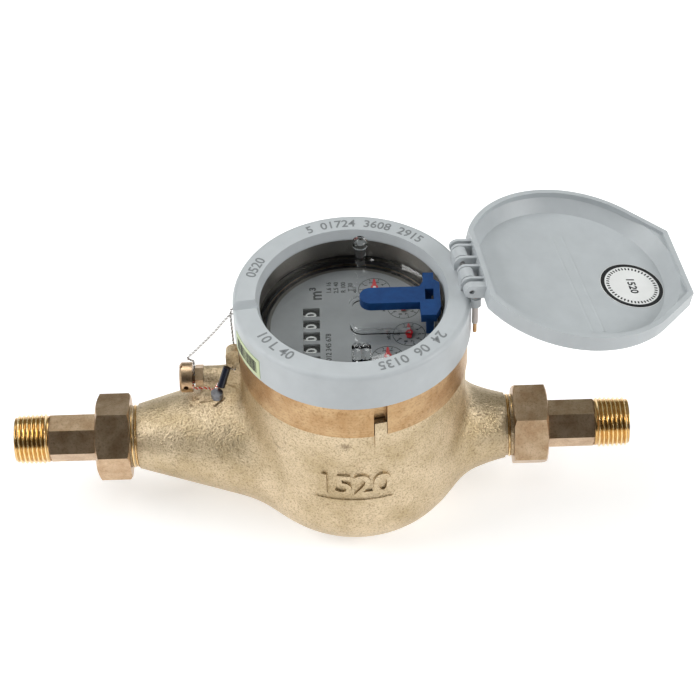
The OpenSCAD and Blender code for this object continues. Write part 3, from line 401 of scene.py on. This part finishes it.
def runTree(name, tree, values, material, body, place=None, path=None):
    data = bpy.data.meshes.new(name + "Source")
    if path:
        edges = [(i, i + 1) for i in range(len(path) - 1)]
        data.from_pydata([tuple(part * mm for part in point) for point in path], edges, [])
    host = bpy.data.objects.new(name + "Source", data)
    scene.collection.objects.link(host)
    modifier = host.modifiers.new("grow", "NODES")
    modifier.node_group = tree
    wanted = dict(values)
    wanted["Material"] = material
    for item in tree.interface.items_tree:
        if item.in_out == "INPUT" and item.name in wanted:
            modifier[item.identifier] = wanted[item.name]
    mesh = bpy.data.meshes.new_from_object(host.evaluated_get(bpy.context.evaluated_depsgraph_get()))
    host.modifiers.remove(modifier)
    bpy.data.objects.remove(host)
    mesh.name = name
    if place:
        mesh.transform(place)
    obj = bpy.data.objects.new(name, mesh)
    scene.collection.objects.link(obj)
    return dress(obj, material, body)


number = "NodeSocketFloat"
count = "NodeSocketInt"


def growThread(graph, given):
    sheet = {"Size X": 1.0, "Size Y": 1.0, "Vertices X": given["Along"], "Vertices Y": given["Around"]}
    grid = graph.add("GeometryNodeMeshGrid", {}, sheet)
    spot = graph.add("GeometryNodeInputPosition")
    along = graph.add("ShaderNodeSeparateXYZ", {}, {0: spot}, 0) + 0.5
    around = graph.add("ShaderNodeSeparateXYZ", {}, {0: spot}, 1) + 0.5
    reach = along * given["Length"]
    turn = graph.calc("FRACT", reach / given["Pitch"] - around)
    ridge = graph.clamp(1.0 - graph.calc("ABSOLUTE", turn * 2.0 - 1.0), 0.12, 0.88)
    fade = given["Pitch"] * 0.8
    ends = graph.clamp(reach / fade, 0.0, 1.0) * graph.clamp((given["Length"] - reach) / fade, 0.0, 1.0)
    radius = given["Root"] + given["Depth"] * ridge * ends - given["Taper"] * reach
    angle = around * math.tau
    sockets = {0: reach, 1: radius * graph.calc("COSINE", angle), 2: radius * graph.calc("SINE", angle)}
    marked = graph.store(grid, "ridge", ridge * ends)
    return graph.add("GeometryNodeSetPosition", {}, {
        "Geometry": marked, "Position": graph.add("ShaderNodeCombineXYZ", {}, sockets)})


threadTree = growTree("thread", {
    "Length": number, "Pitch": number, "Root": number, "Depth": number, "Taper": number,
    "Along": count, "Around": count,
}, growThread)


def growTwist(graph, given):
    curve = graph.add("GeometryNodeMeshToCurve", {}, {0: given["Geometry"]})
    steps = graph.add("GeometryNodeResampleCurve", {}, {"Curve": curve, "Count": given["Steps"]})
    tilt = graph.add("GeometryNodeSplineParameter") * given["Turns"] * math.tau
    tilted = graph.add("GeometryNodeSetCurveTilt", {}, {"Curve": steps, "Tilt": tilt})
    strand = graph.add("GeometryNodeCurvePrimitiveCircle", {}, {"Resolution": 8, "Radius": given["Strand"]})
    both = graph.tree.nodes.new("GeometryNodeJoinGeometry")
    for share, side in enumerate((-1.0, 1.0)):
        aside = graph.add("ShaderNodeCombineXYZ", {}, {0: given["Strand"] * side})
        moved = graph.add("GeometryNodeTransform", {}, {"Geometry": strand, "Translation": aside})
        graph.plug(graph.store(moved, "strand", float(share)), both.inputs[0])
    return graph.add("GeometryNodeCurveToMesh", {}, {
        "Curve": tilted, "Profile Curve": Link(graph, both.outputs[0]), "Fill Caps": True})


twistTree = growTree("twist", {"Steps": count, "Turns": number, "Strand": number}, growTwist)


def growTicks(graph, given):
    ring = graph.add("GeometryNodeMeshCircle", {}, {"Vertices": given["Count"], "Radius": given["Radius"]})
    edges = {0: given["Length"], 1: given["Width"], 2: given["Height"]}
    tick = graph.add("GeometryNodeMeshCube", {}, {"Size": graph.add("ShaderNodeCombineXYZ", {}, edges)})
    turn = graph.add("GeometryNodeInputIndex") / given["Count"] * math.tau
    facing = graph.add("ShaderNodeCombineXYZ", {}, {2: turn})
    sockets = {"Points": ring, "Instance": tick, "Rotation": facing}
    return graph.add("GeometryNodeInstanceOnPoints", {}, sockets)


tickTree = growTree("ticks", {
    "Count": count, "Radius": number, "Length": number, "Width": number, "Height": number,
}, growTicks)


def growBars(graph, given):
    line = graph.add("GeometryNodeMeshLine", {}, {"Count": given["Count"], "Offset": (0.0, 0.0, 0.0)})
    index = graph.add("GeometryNodeInputIndex")
    turn = given["Start"] + given["Span"] * index / given["Count"]
    place = graph.add("ShaderNodeCombineXYZ", {}, {
        0: given["Radius"] * graph.calc("COSINE", turn), 1: given["Radius"] * graph.calc("SINE", turn)})
    moved = graph.add("GeometryNodeSetPosition", {}, {"Geometry": line, "Position": place})
    size = graph.add("ShaderNodeCombineXYZ", {}, {0: given["Lift"], 1: given["Width"], 2: given["Height"]})
    bar = graph.add("GeometryNodeMeshCube", {}, {"Size": size})
    wide = graph.add("FunctionNodeRandomValue", {"data_type": "FLOAT"}, {2: 0.35, 3: 1.3, "Seed": 4}, 1)
    return graph.add("GeometryNodeInstanceOnPoints", {}, {
        "Points": moved, "Instance": bar,
        "Rotation": graph.add("ShaderNodeCombineXYZ", {}, {2: turn}),
        "Scale": graph.add("ShaderNodeCombineXYZ", {}, {0: 1.0, 1: wide, 2: 1.0}),
    })


barTree = growTree("bars", {
    "Count": count, "Start": number, "Span": number, "Radius": number,
    "Lift": number, "Width": number, "Height": number,
}, growBars)


def textMesh(words, size, depth, weight):
    curve = bpy.data.curves.new("words", "FONT")
    curve.body = words
    curve.size = size
    curve.offset = weight * size
    curve.extrude = depth / 2
    curve.resolution_u = 3
    curve.align_x = "CENTER"
    curve.align_y = "CENTER"
    holder = bpy.data.objects.new("words", curve)
    scene.collection.objects.link(holder)
    mesh = bpy.data.meshes.new_from_object(holder.evaluated_get(bpy.context.evaluated_depsgraph_get()))
    bpy.data.objects.remove(holder)
    bpy.data.curves.remove(curve)
    return mesh


def writeWords(name, lines, place, material, body, weight=0.0):
    whole = bmesh.new()
    for words, size, depth, spot in lines:
        mesh = textMesh(words, size, depth, weight)
        for vert in mesh.vertices:
            vert.co = Vector(place(spot, *vert.co)) * mm
        whole.from_mesh(mesh)
        bpy.data.meshes.remove(mesh)
    mesh = bpy.data.meshes.new(name)
    whole.to_mesh(mesh)
    whole.free()
    obj = bpy.data.objects.new(name, mesh)
    scene.collection.objects.link(obj)
    return dress(obj, material, body, 20.0)


def lathe(profile, steps):
    verts = []
    faces = []
    for radius, along in profile:
        for i in range(steps):
            turn = math.tau * i / steps
            verts.append((along, radius * math.cos(turn), radius * math.sin(turn)))
    rings = len(profile)
    for ring in range(rings):
        following = (ring + 1) % rings
        for i in range(steps):
            j = (i + 1) % steps
            faces.append((ring * steps + i, ring * steps + j, following * steps + j, following * steps + i))
    return verts, faces


# Cast fillets where the cone, the neck, the boss and the ear grow out of the bowl

flowHeight = 31.0
bowlSettings = {"flat": 21.0, "corner": 24.0, "top": 74.0}
coneSettings = {"end": 89.1, "radius": 13.44, "slope": 0.29137, "root": 21.0}
flareSettings = {"curve": 76.48, "out": 88.17, "along": 77.77, "start": 38.57}
bossSettings = {
    "side": 5.5, "height": 59.0, "radius": 4.6, "end": 61.0, "web": 3.45, "webEnd": 59.0, "root": 34.0,
}
earSettings = {"half": 2.0, "end": 51.1, "bottom": 61.2}
filletSettings = {
    "low": (-76.0, -36.0, 1.2), "high": (58.0, 36.0, 73.7), "voxel": 0.8,
    "sink": 0.03, "least": 0.01, "deep": 0.2,
    "cone": 10.0, "flare": 9.0, "web": 4.0, "boss": 12.0, "ear": 4.0,
}


def growFillets(graph, given):
    spot = graph.add("GeometryNodeInputPosition")
    x, y, z = (graph.add("ShaderNodeSeparateXYZ", {}, {0: spot}, k) * 1000.0 for k in range(3))

    def least(*parts):
        return graph.fold("MINIMUM", parts)

    def most(*parts):
        return graph.fold("MAXIMUM", parts)

    def reach(first, second):
        return graph.calc("SQRT", first * first + second * second)

    def size(part):
        return graph.calc("ABSOLUTE", part)

    def melt(first, second, width):
        return graph.calc("SMOOTH_MIN", first, second, width)

    # distance in mm to each plain form of the casting, below zero inside it
    bowlSize, coneSize, flareSize = bowlSettings, coneSettings, flareSettings
    bossSize, earSize, own = bossSettings, earSettings, filletSettings
    out = reach(x, y) - bowlSize["flat"]
    under = bowlSize["corner"] - z
    rounded = reach(most(out, 0.0), most(under, 0.0)) + least(most(out, under), 0.0) - bowlSize["corner"]
    bowl = most(rounded, z - bowlSize["top"])
    pipe = reach(y, z - flowHeight)
    flank = pipe - coneSize["radius"] - (x + coneSize["end"]) * coneSize["slope"]
    cone = most(flank * math.cos(math.atan(coneSize["slope"])), x + coneSize["root"])
    hollow = flareSize["curve"] - reach(pipe - flareSize["out"], x - flareSize["along"])
    flare = most(hollow, flareSize["start"] - x)
    inward = x + bossSize["root"]
    rod = reach(y - bossSize["side"], z - bossSize["height"]) - bossSize["radius"]
    boss = most(rod, -1.0 * x - bossSize["end"], inward)
    upright = most(z - bossSize["height"], flowHeight - z)
    plate = size(y - bossSize["side"]) - bossSize["web"]
    web = most(plate, -1.0 * x - bossSize["webEnd"], inward, upright)
    ear = most(size(y) - earSize["half"], -1.0 * x - earSize["end"], inward, earSize["bottom"] - z)
    sharp = least(bowl, cone, flare, boss, web, ear)

    # the same forms melted together, of which only the filled corners are kept
    soft = melt(melt(bowl, cone, own["cone"]), flare, own["flare"])
    soft = melt(melt(soft, melt(boss, web, own["web"]), own["boss"]), ear, own["ear"])
    counts = [round((high - low) / own["voxel"]) for low, high in zip(own["low"], own["high"])]
    cells = graph.add("GeometryNodeVolumeCube", {}, {
        "Density": 1.0 - own["sink"] - soft, "Background": 0.0,
        "Min": tuple(part * mm for part in own["low"]), "Max": tuple(part * mm for part in own["high"]),
        "Resolution X": counts[0], "Resolution Y": counts[1], "Resolution Z": counts[2],
    })
    skin = {"Volume": cells, "Threshold": 1.0}
    shell = graph.add("GeometryNodeVolumeToMesh", {"resolution_mode": "GRID"}, skin)
    plain = graph.calc("LESS_THAN", sharp - soft, own["least"])
    inner = graph.calc("LESS_THAN", soft, -own["deep"])  # caps at the edges of the block
    return graph.add("GeometryNodeDeleteGeometry", {"domain": "FACE"}, {
        "Geometry": shell, "Selection": graph.calc("MAXIMUM", plain, inner)})


filletTree = growTree("fillets", {}, growFillets)
runTree("castFillets", filletTree, {}, castBrass, "meter")

arrowSettings = {
    "tip": (-53.5, -3.6), "tails": ((-62.5, -2.6), (-56.5, -1.4), (-57.0, -5.6)),
    "width": 0.45, "low": 0.1, "high": 1.25,
}


def conePlace(x, across, lift):
    own = coneSettings
    radius = own["radius"] + own["slope"] * (x + own["end"]) + lift
    turn = across / radius
    return (x, radius * math.sin(turn), flowHeight + radius * math.cos(turn))


def buildArrow():
    own = arrowSettings
    verts = []
    faces = []
    end = Vector(own["tip"])
    for start in map(Vector, own["tails"]):
        base = len(verts)
        run = (end - start).normalized() * own["width"]
        aside = Vector((-run.y, run.x))
        corners = (start - run - aside, end + run - aside, end + run + aside, start - run + aside)
        for lift in (own["low"], own["high"]):
            verts.extend(conePlace(corner.x, corner.y, lift) for corner in corners)
        faces.append(tuple(base + k for k in (3, 2, 1, 0)))
        faces.append(tuple(base + k for k in (4, 5, 6, 7)))
        for k in range(4):
            following = (k + 1) % 4
            faces.append((base + k, base + following, base + 4 + following, base + 4 + k))
    makeObject("flowArrow", verts, faces, castBrass, "meter")


buildArrow()
print("fillets done")


# Threaded connectors

tailSettings = {
    "inlet": {"side": -1, "face": 97.2, "turn": 34.0}, "outlet": {"side": 1, "face": 69.6, "turn": 37.0},
    "bore": 6.8, "collar": (2.0, 5.0, 12.0), "neck": 8.5, "shank": (9.6, 28.9), "flats": 17.0,
    "thread": (28.9, 43.0), "crest": 10.44, "depth": 1.05, "pitch": 1.814, "taper": 0.026,
    "nose": 0.9, "noseFall": 0.36, "mouth": (0.5, 0.6), "bevel": 0.35, "steps": 64,
}


def buildTail(name):
    own = tailSettings
    side = own[name]["side"]
    start, end = own["thread"]
    root = own["crest"] - own["depth"]
    corner = own["flats"] / 2 / math.cos(math.pi / 6)
    inside, outside, rim = own["collar"]
    profile = [
        (own["bore"], inside), (rim, inside), (rim, outside),
        (own["neck"], outside), (own["neck"], start), (root, start),
        (root - own["noseFall"], end - own["nose"]), (root - own["nose"], end),
        (own["bore"] + own["mouth"][0], end), (own["bore"], end - own["mouth"][1]),
    ]
    verts, faces = lathe(profile, own["steps"])
    base = len(verts)
    bevel = own["bevel"]
    near, far = own["shank"]
    rows = ((near, corner - bevel), (near + bevel, corner), (far - bevel, corner), (far, corner - bevel))
    for along, radius in rows:
        for i in range(6):
            turn = math.radians(own[name]["turn"] + 60 * i)
            verts.append((along, radius * math.sin(turn), radius * math.cos(turn)))
    for row in range(3):
        for i in range(6):
            j = (i + 1) % 6
            first = base + row * 6
            faces.append((first + i, first + j, first + 6 + j, first + 6 + i))
    faces.append(tuple(base + i for i in range(6)))
    faces.append(tuple(base + 18 + i for i in range(6)))
    placed = [(side * (own[name]["face"] + x), y, flowHeight + z) for x, y, z in verts]
    tail = makeObject(name + "Tail", placed, faces, bronze, "meter")
    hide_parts(name + "_tailpiece")
    values = {
        "Length": (end - start) * mm, "Pitch": own["pitch"] * mm, "Root": root * mm,
        "Depth": own["depth"] * mm, "Taper": own["taper"], "Along": 110, "Around": 72,
    }
    turn = Matrix.Rotation(0.0 if side > 0 else math.pi, 4, "Z")
    spot = Matrix.Translation(Vector((side * (own[name]["face"] + start), 0, flowHeight)) * mm)
    runTree(name + "Thread", threadTree, values, threadGold, "meter", spot @ turn)


spigotSettings = {
    "inlet": (-1, 88.9, 3.5), "outlet": (1, 61.3, 3.5), "root": 12.45, "depth": 0.76, "pitch": 1.814,
}


def buildSpigotThread(name):
    own = spigotSettings
    side, start, length = own[name]
    values = {
        "Length": length * mm, "Pitch": own["pitch"] * mm, "Root": own["root"] * mm,
        "Depth": own["depth"] * mm, "Taper": 0.0, "Along": 28, "Around": 96,
    }
    turn = Matrix.Rotation(0.0 if side > 0 else math.pi, 4, "Z")
    spot = Matrix.Translation(Vector((side * start, 0, flowHeight)) * mm)
    runTree(name + "SpigotThread", threadTree, values, threadGold, "meter", spot @ turn)


for endName in ("inlet", "outlet"):
    buildTail(endName)
    buildSpigotThread(endName)
print("connectors done")


# Sealing wires, twisted along smoothed routes

def smoothRoute(points, steps):
    route = []
    padded = [points[0]] + list(points) + [points[-1]]
    for i in range(len(points) - 1):
        before, start, end, after = (Vector(padded[i + k]) for k in range(4))
        for k in range(steps):
            share = k / steps
            first = (end - before) * share
            second = (before * 2 - start * 5 + end * 4 - after) * share ** 2
            third = (start * 3 - before - end * 3 + after) * share ** 3
            route.append(tuple(start + (first + second + third) * 0.5))
    route.append(tuple(points[-1]))
    return route


wireSettings = {
    "seal_wire": {
        "name": "sealTwist",
        "route": [(-64.9, 4.0, 61.5), (-64.8, 7.0, 66.2), (-67.2, 8.6, 67.0), (-64.0, 6.6, 72.6),
                  (-56.0, 2.5, 86.0), (-48.2, -1.5, 100.0), (-45.2, -1.6, 100.0)],
        "turns": 22.0, "strand": 0.24, "material": steelTwist, "slot": "steel",
    },
    "tie_wire": {
        "name": "tieTwist",
        "route": [(-45.2, 1.4, 100.0), (-47.9, 1.5, 99.4), (-48.0, 2.3, 85.0), (-47.6, 3.2, 72.0),
                  (-47.5, 0.0, 71.1), (-47.6, -3.2, 71.2), (-49.4, -4.0, 73.0)],
        "turns": 18.0, "strand": 0.24, "material": steelTwist, "slot": "steel",
    },
    "copper_wire": {
        "name": "copperTwist",
        "route": [(-65.0, 2.6, 59.0), (-65.0, -1.1, 59.5), (-59.5, -2.1, 60.2), (-56.5, -4.3, 61.4),
                  (-54.7, -6.4, 66.7), (-54.5, -8.6, 65.9)],
        "turns": 11.0, "strand": 0.3, "material": copper, "slot": "copper",
    },
}


def buildWire(name):
    own = wireSettings[name]
    values = {"Steps": 240, "Turns": own["turns"], "Strand": own["strand"] * mm}
    path = smoothRoute(own["route"], 12)  # points from one bend to the next
    wire = runTree(own["name"], twistTree, values, own["material"], "meter", None, path)
    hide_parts(name)


for wireName in wireSettings:
    buildWire(wireName)
print("wires done")


# Numbers on the cover ring, the body and the lid

coverTop = 108.0
ringTextSettings = {"radius": 41.3, "flat": 44.8, "round": 2.0, "lift": 0.03}


def ringPlace(spot, x, y, z):
    own = ringTextSettings
    azimuth, outward = spot
    radius = own["radius"] + (y if outward else -y)
    turn = math.radians(azimuth) + (-x if outward else x) / own["radius"]
    past = max(0.0, radius - own["flat"])
    height = coverTop - own["round"] + math.sqrt(own["round"] ** 2 - past ** 2)
    return (radius * math.cos(turn), radius * math.sin(turn), height + own["lift"] + z)


writeWords("ringNumbers", [
    ("5  01724  3608  2915", 5.7, 0.12, (80.5, True)), ("0520", 5.8, 0.12, (156, True)),
    ("10 L 40", 6.2, 0.12, (222.5, False)), ("24  06  0135", 6.2, 0.12, (304.5, True)),
], ringPlace, greyInk, "meter", 0.012)

castTextSettings = {
    "words": "1520", "size": 15.5, "depth": 1.8, "radius": 45.0, "middle": -92.0, "height": 46.0,
}


def castPlace(spot, x, y, z):
    own = castTextSettings
    turn = math.radians(own["middle"]) + x / own["radius"]
    radius = own["radius"] + z
    return (radius * math.cos(turn), radius * math.sin(turn), own["height"] + y)


underlineSettings = {
    "start": -112.0, "end": -72.0, "low": 36.9, "high": 38.2, "inner": 44.5, "outer": 45.5,
    "slope": 0.3, "steps": 48,
}


def buildUnderline():
    own = underlineSettings
    steps = own["steps"]
    section = (
        (own["inner"], own["low"]), (own["outer"], own["low"] + own["slope"]),
        (own["outer"], own["high"] - own["slope"]), (own["inner"], own["high"]),
    )
    verts = []
    faces = []
    for i in range(steps + 1):
        turn = math.radians(own["start"] + (own["end"] - own["start"]) * i / steps)
        for radius, height in section:
            verts.append((radius * math.cos(turn), radius * math.sin(turn), height))
    for i in range(steps):
        for k in range(4):
            following = (k + 1) % 4
            faces.append((4 * i + k, 4 * i + following, 4 * i + 4 + following, 4 * i + 4 + k))
    faces.append((0, 1, 2, 3))
    faces.append(tuple(4 * steps + k for k in range(4)))
    makeObject("castUnderline", verts, faces, castBrass, "meter")


castLine = (castTextSettings["words"], castTextSettings["size"], castTextSettings["depth"], None)
writeWords("castNumber", [castLine], castPlace, castBrass, "meter", 0.018)
buildUnderline()
print("ring and body numbers done")


# Dial print and roller digits

dialTop = 88.6
dialSettings = {
    "lift": 0.03, "depth": 0.05, "weight": 0.02, "rows": ("1.6 16", "2.5 40", "R 100", "T 30"),
    "rowSize": 2.6, "rowStart": (-9.0, 22.5), "rowStep": 2.9,
}
pointerSettings = {
    "circle": 22.8, "start": -54.0, "step": 40.0, "labels": ("x0.0001", "x0.001", "x0.01", "x0.1"),
    "labelSize": 2.0, "labelDrop": 8.0, "digitSize": 1.9, "digitCircle": 4.2, "markHeight": 0.06,
    "marks": {"pointerTicks": (10, 5.6, 1.0, 0.3), "pointerRing": (72, 6.4, 0.22, 0.58)},
}


def dialPlace(spot, x, y, z):
    return (spot[0] - y, spot[1] + x, dialTop + dialSettings["lift"] + z)


def pointerSpot(index):
    own = pointerSettings
    turn = math.radians(own["start"] + own["step"] * index)
    return (own["circle"] * math.cos(turn), own["circle"] * math.sin(turn))


def printDial():
    own = dialSettings
    depth = own["depth"]
    lines = [("m³", 7.0, depth, (-14.2, 19.3)), ("0012 345 678", 3.0, depth, (-9.6, -12.3))]
    down, across = own["rowStart"]
    for row, words in enumerate(own["rows"]):
        lines.append((words, own["rowSize"], depth, (down + own["rowStep"] * row, across)))
    hand = pointerSettings
    for index, label in enumerate(hand["labels"]):
        x, y = pointerSpot(index)
        lines.append((label, hand["labelSize"], depth, (x - hand["labelDrop"], y)))
        for digit in range(10):
            turn = math.tau * digit / 10
            place = (x - hand["digitCircle"] * math.cos(turn), y + hand["digitCircle"] * math.sin(turn))
            lines.append((str(digit), hand["digitSize"], depth, place))
    writeWords("dialPrint", lines, dialPlace, blackInk, "meter", own["weight"])


def markPointer(index):
    own = pointerSettings
    x, y = pointerSpot(index)
    place = Matrix.Translation(Vector((x, y, dialTop + dialSettings["lift"])) * mm)
    for name, (amount, radius, length, width) in own["marks"].items():
        values = {
            "Count": amount, "Radius": radius * mm, "Length": length * mm, "Width": width * mm,
            "Height": own["markHeight"] * mm,
        }
        runTree(name + str(index + 1), tickTree, values, blackInk, "meter", place)


printDial()
for pointerIndex in range(len(pointerSettings["labels"])):
    markPointer(pointerIndex)

rollerSettings = {
    "offset": -16.3, "height": 80.6, "radius": 6.6, "middle": -5.2, "pitch": 6.8,
    "size": 6.0, "depth": 0.05, "band": 0.06, "half": 2.7, "lift": 0.1, "steps": 72,
}


def rollerPlace(spot, x, y, z):
    own = rollerSettings
    place, turn = spot
    angle = turn + y / own["radius"]
    radius = own["radius"] + own["lift"] + z
    return (own["offset"] - radius * math.sin(angle), place + x, own["height"] + radius * math.cos(angle))


def buildRoller(index):
    own = rollerSettings
    middle = own["middle"] + own["pitch"] * (2 - index)
    label = str(index + 1)
    steps = own["steps"]
    radius = own["radius"] + own["band"]
    verts = []
    faces = []
    for side in (-own["half"], own["half"]):
        for i in range(steps):
            turn = math.tau * i / steps
            x = own["offset"] + radius * math.sin(turn)
            verts.append((x, middle + side, own["height"] + radius * math.cos(turn)))
    for i in range(steps):
        j = (i + 1) % steps
        faces.append((i, j, steps + j, steps + i))
    makeObject("rollerBand" + label, verts, faces, blackInk, "roller_" + label)
    digits = [(str(k), own["size"], own["depth"], (middle, -math.tau * k / 10)) for k in range(10)]
    body = "roller_" + label
    writeWords("rollerDigits" + label, digits, rollerPlace, whiteInk, body, 0.02)


for rollerIndex in range(5):
    buildRoller(rollerIndex)
print("dial done")


# Lid sticker and side label

lidSettings = {"angle": 9.5, "reach": 45.0, "height": 112.5, "open": 191.0, "floor": 115.7}
stickerSettings = {
    "reach": 24.8, "direction": 195.0, "band": (11.2, 12.8), "lift": 0.24, "steps": 72,
    "words": ("1520", 4.6, 0.05, None),
    "marks": {"Radius": 9.9 * mm, "Length": 1.2 * mm, "Width": 0.6 * mm, "Height": 0.05 * mm, "Count": 44},
}


def lidMatrix(x, y, z):
    own = lidSettings
    turn = Matrix.Rotation(math.radians(own["angle"]), 4, "Z")
    swing = Matrix.Rotation(math.radians(own["open"]), 4, "Y")
    away = Matrix.Translation((-own["reach"], 0, -own["height"]))
    back = Matrix.Translation((own["reach"], 0, own["height"]))
    return turn @ back @ swing @ away @ Matrix.Translation((x, y, z))


def stickerPlace(spot, x, y, z):
    own = stickerSettings
    direction = math.radians(own["direction"])
    middle = (own["reach"] * math.cos(direction), own["reach"] * math.sin(direction))
    return lidMatrix(middle[0] - y, middle[1] - x, lidSettings["floor"] - own["lift"] - z).translation


def buildSticker():
    own = stickerSettings
    verts = []
    faces = []
    steps = own["steps"]
    for radius in own["band"]:
        for i in range(steps):
            turn = math.tau * i / steps
            verts.append(tuple(stickerPlace(None, radius * math.cos(turn), radius * math.sin(turn), 0)))
    for i in range(steps):
        j = (i + 1) % steps
        faces.append((i, j, steps + j, steps + i))
    makeObject("stickerBand", verts, faces, blackInk, "lid")
    writeWords("stickerNumber", [own["words"]], stickerPlace, blackInk, "lid", 0.02)
    spot = Matrix.Translation(Vector(stickerPlace(None, 0, 0, 0)) * mm)
    lean = lidMatrix(0, 0, 0).to_3x3().to_4x4()
    runTree("stickerMarks", tickTree, own["marks"], blackInk, "lid", spot @ lean)


buildSticker()

lidLineSettings = {
    "from": (0.0, 23.9), "to": (-2.7, -33.1), "apart": 4.6, "width": 0.6, "lift": 0.16, "foot": 0.02,
}


def buildLidLines():
    own = lidLineSettings
    verts = []
    faces = []
    start = Vector(own["from"])
    run = Vector(own["to"]) - start
    aside = Vector((-run.y, run.x)).normalized()
    section = ((-1, own["foot"]), (-0.5, own["lift"]), (0.5, own["lift"]), (1, own["foot"]))
    for offset in (-own["apart"] / 2, own["apart"] / 2):
        base = len(verts)
        for point in (start, start + run):
            for side, depth in section:
                spot = point + aside * (offset + side * own["width"])
                verts.append(tuple(lidMatrix(spot.x, spot.y, lidSettings["floor"] - depth).translation))
        for k in range(3):
            faces.append((base + k, base + k + 1, base + k + 5, base + k + 4))
    makeObject("lidLines", verts, faces, greyPlastic, "lid")


buildLidLines()

labelSettings = {
    "start": 197.0, "span": 20.0, "radius": 47.06, "height": 96.8,
    "bars": 30, "lift": 0.06, "width": 0.4, "tall": 6.0,
}


def buildLabel():
    own = labelSettings
    values = {
        "Count": own["bars"], "Start": math.radians(own["start"]), "Span": math.radians(own["span"]),
        "Radius": own["radius"] * mm, "Lift": own["lift"] * mm,
        "Width": own["width"] * mm, "Height": own["tall"] * mm,
    }
    place = Matrix.Translation(Vector((0, 0, own["height"])) * mm)
    runTree("labelBars", barTree, values, blackInk, "meter", place)


buildLabel()
print("labels done")


# Camera, matched to the photo

cameraSettings = {
    "aim": (-1.31, 0.0, 77.2), "distance": 950.0, "elevation": 44.62, "yaw": -0.22, "roll": -1.58,
    "lens": 122.1, "sensor": 36.0, "far": 50.0,
}


def placeCamera():
    own = cameraSettings
    tilt = math.radians(own["elevation"])
    turn = math.radians(own["yaw"])
    roll = math.radians(own["roll"])
    back = Vector((math.sin(turn) * math.cos(tilt), -math.cos(turn) * math.cos(tilt), math.sin(tilt)))
    right = (-back).cross(Vector((0, 0, 1))).normalized()
    up = right.cross(-back)
    side = right * math.cos(roll) + up * math.sin(roll)
    top = up * math.cos(roll) - right * math.sin(roll)
    data = bpy.data.cameras.new("camera")
    data.lens = own["lens"]
    data.sensor_width = own["sensor"]
    data.clip_end = own["far"]
    camera = bpy.data.objects.new("camera", data)
    scene.collection.objects.link(camera)
    place = (Vector(own["aim"]) + back * own["distance"]) * mm
    camera.matrix_world = Matrix.Translation(place) @ Matrix((side, top, back)).transposed().to_4x4()
    scene.camera = camera


placeCamera()

# Light, floor and surroundings

# the front lamp stands for light thrown back by the table, so metal and glass do not mirror it
lightSettings = {
    "over": {"place": (-0.15, 0.45, 1.0), "aim": (0, 0, 0.05), "size": 0.55, "power": 3.0, "glossy": True},
    "left": {"place": (-1.0, -0.12, 0.85), "aim": (0, 0, 0.06), "size": 0.7, "power": 8.0, "glossy": True},
    "right": {"place": (1.05, -0.3, 0.62), "aim": (0, 0, 0.06), "size": 0.6, "power": 7.6, "glossy": True},
    "front": {"place": (-0.35, -0.9, 0.14), "aim": (0, 0, 0.06), "size": 0.27, "power": 2.4, "glossy": False},
}


def addLight(name, own):
    data = bpy.data.lights.new(name, "AREA")
    data.size = own["size"]
    data.energy = own["power"]
    lamp = bpy.data.objects.new(name, data)
    scene.collection.objects.link(lamp)
    lamp.visible_glossy = own["glossy"]
    aim = Vector(own["aim"]) - Vector(own["place"])
    lamp.matrix_world = Matrix.Translation(own["place"]) @ aim.to_track_quat("-Z", "Y").to_matrix().to_4x4()


for lightName, lightValues in lightSettings.items():
    addLight(lightName, lightValues)

worldSettings = {
    "above": (0.32, 0.335, 0.32, 1.0), "level": (0.28, 0.293, 0.28, 1.0), "front": (0.07, 0.07, 0.07, 1.0),
    "strength": 0.9,
}


def makeWorld():
    own = worldSettings
    world = bpy.data.worlds.new("surroundings")
    world.use_nodes = True
    graph = Graph(world.node_tree)
    where = graph.add("ShaderNodeTexCoord", {}, {}, 0)
    height = graph.add("ShaderNodeSeparateXYZ", {}, {0: where}, 2)
    depth = graph.add("ShaderNodeSeparateXYZ", {}, {0: where}, 1)
    around = graph.blend(graph.clamp(height, 0.1, 0.8), own["level"], own["above"])
    shade = graph.blend(graph.clamp(-1.0 * depth, 0.2, 0.65), around, own["front"])
    background = world.node_tree.nodes["Background"]
    graph.plug(shade, background.inputs["Color"])
    background.inputs["Strength"].default_value = own["strength"]
    scene.world = world


makeWorld()

floorSettings = {"half": 3.0, "colour": (0.82, 0.82, 0.82, 1.0), "lift": 0.5, "glossLift": 0.6}


def makeFloor():
    own = floorSettings
    mesh = bpy.data.meshes.new("floor")
    half = own["half"]
    corners = [(-half, -half, 0), (half, -half, 0), (half, half, 0), (-half, half, 0)]
    mesh.from_pydata(corners, [], [(0, 1, 2, 3)])
    floor = bpy.data.objects.new("floor", mesh)
    scene.collection.objects.link(floor)
    material = bpy.data.materials.new("floorPaint")
    material.use_nodes = True
    graph = Graph(material.node_tree)
    shader = material.node_tree.nodes["Principled BSDF"]
    shader.inputs["Base Color"].default_value = own["colour"]
    shader.inputs["Roughness"].default_value = 0.8
    shader.inputs["Specular IOR Level"].default_value = 0.1
    cameraRay = graph.add("ShaderNodeLightPath", {}, {}, 0)
    glossyRay = graph.add("ShaderNodeLightPath", {}, {}, 3)
    passedRay = graph.add("ShaderNodeLightPath", {}, {}, 6)
    seen = graph.calc("MAXIMUM", cameraRay, passedRay) * own["lift"]
    strength = graph.calc("MAXIMUM", seen, glossyRay * own["glossLift"])
    glow = graph.add("ShaderNodeEmission", {}, {"Color": (1.0, 1.0, 1.0, 1.0), "Strength": strength})
    total = graph.add("ShaderNodeAddShader", {}, {0: Link(graph, shader.outputs[0]), 1: glow})
    graph.plug(total, material.node_tree.nodes["Material Output"].inputs[0])
    mesh.materials.append(material)


makeFloor()
scene.view_settings.view_transform = "Standard"
print("stage done")
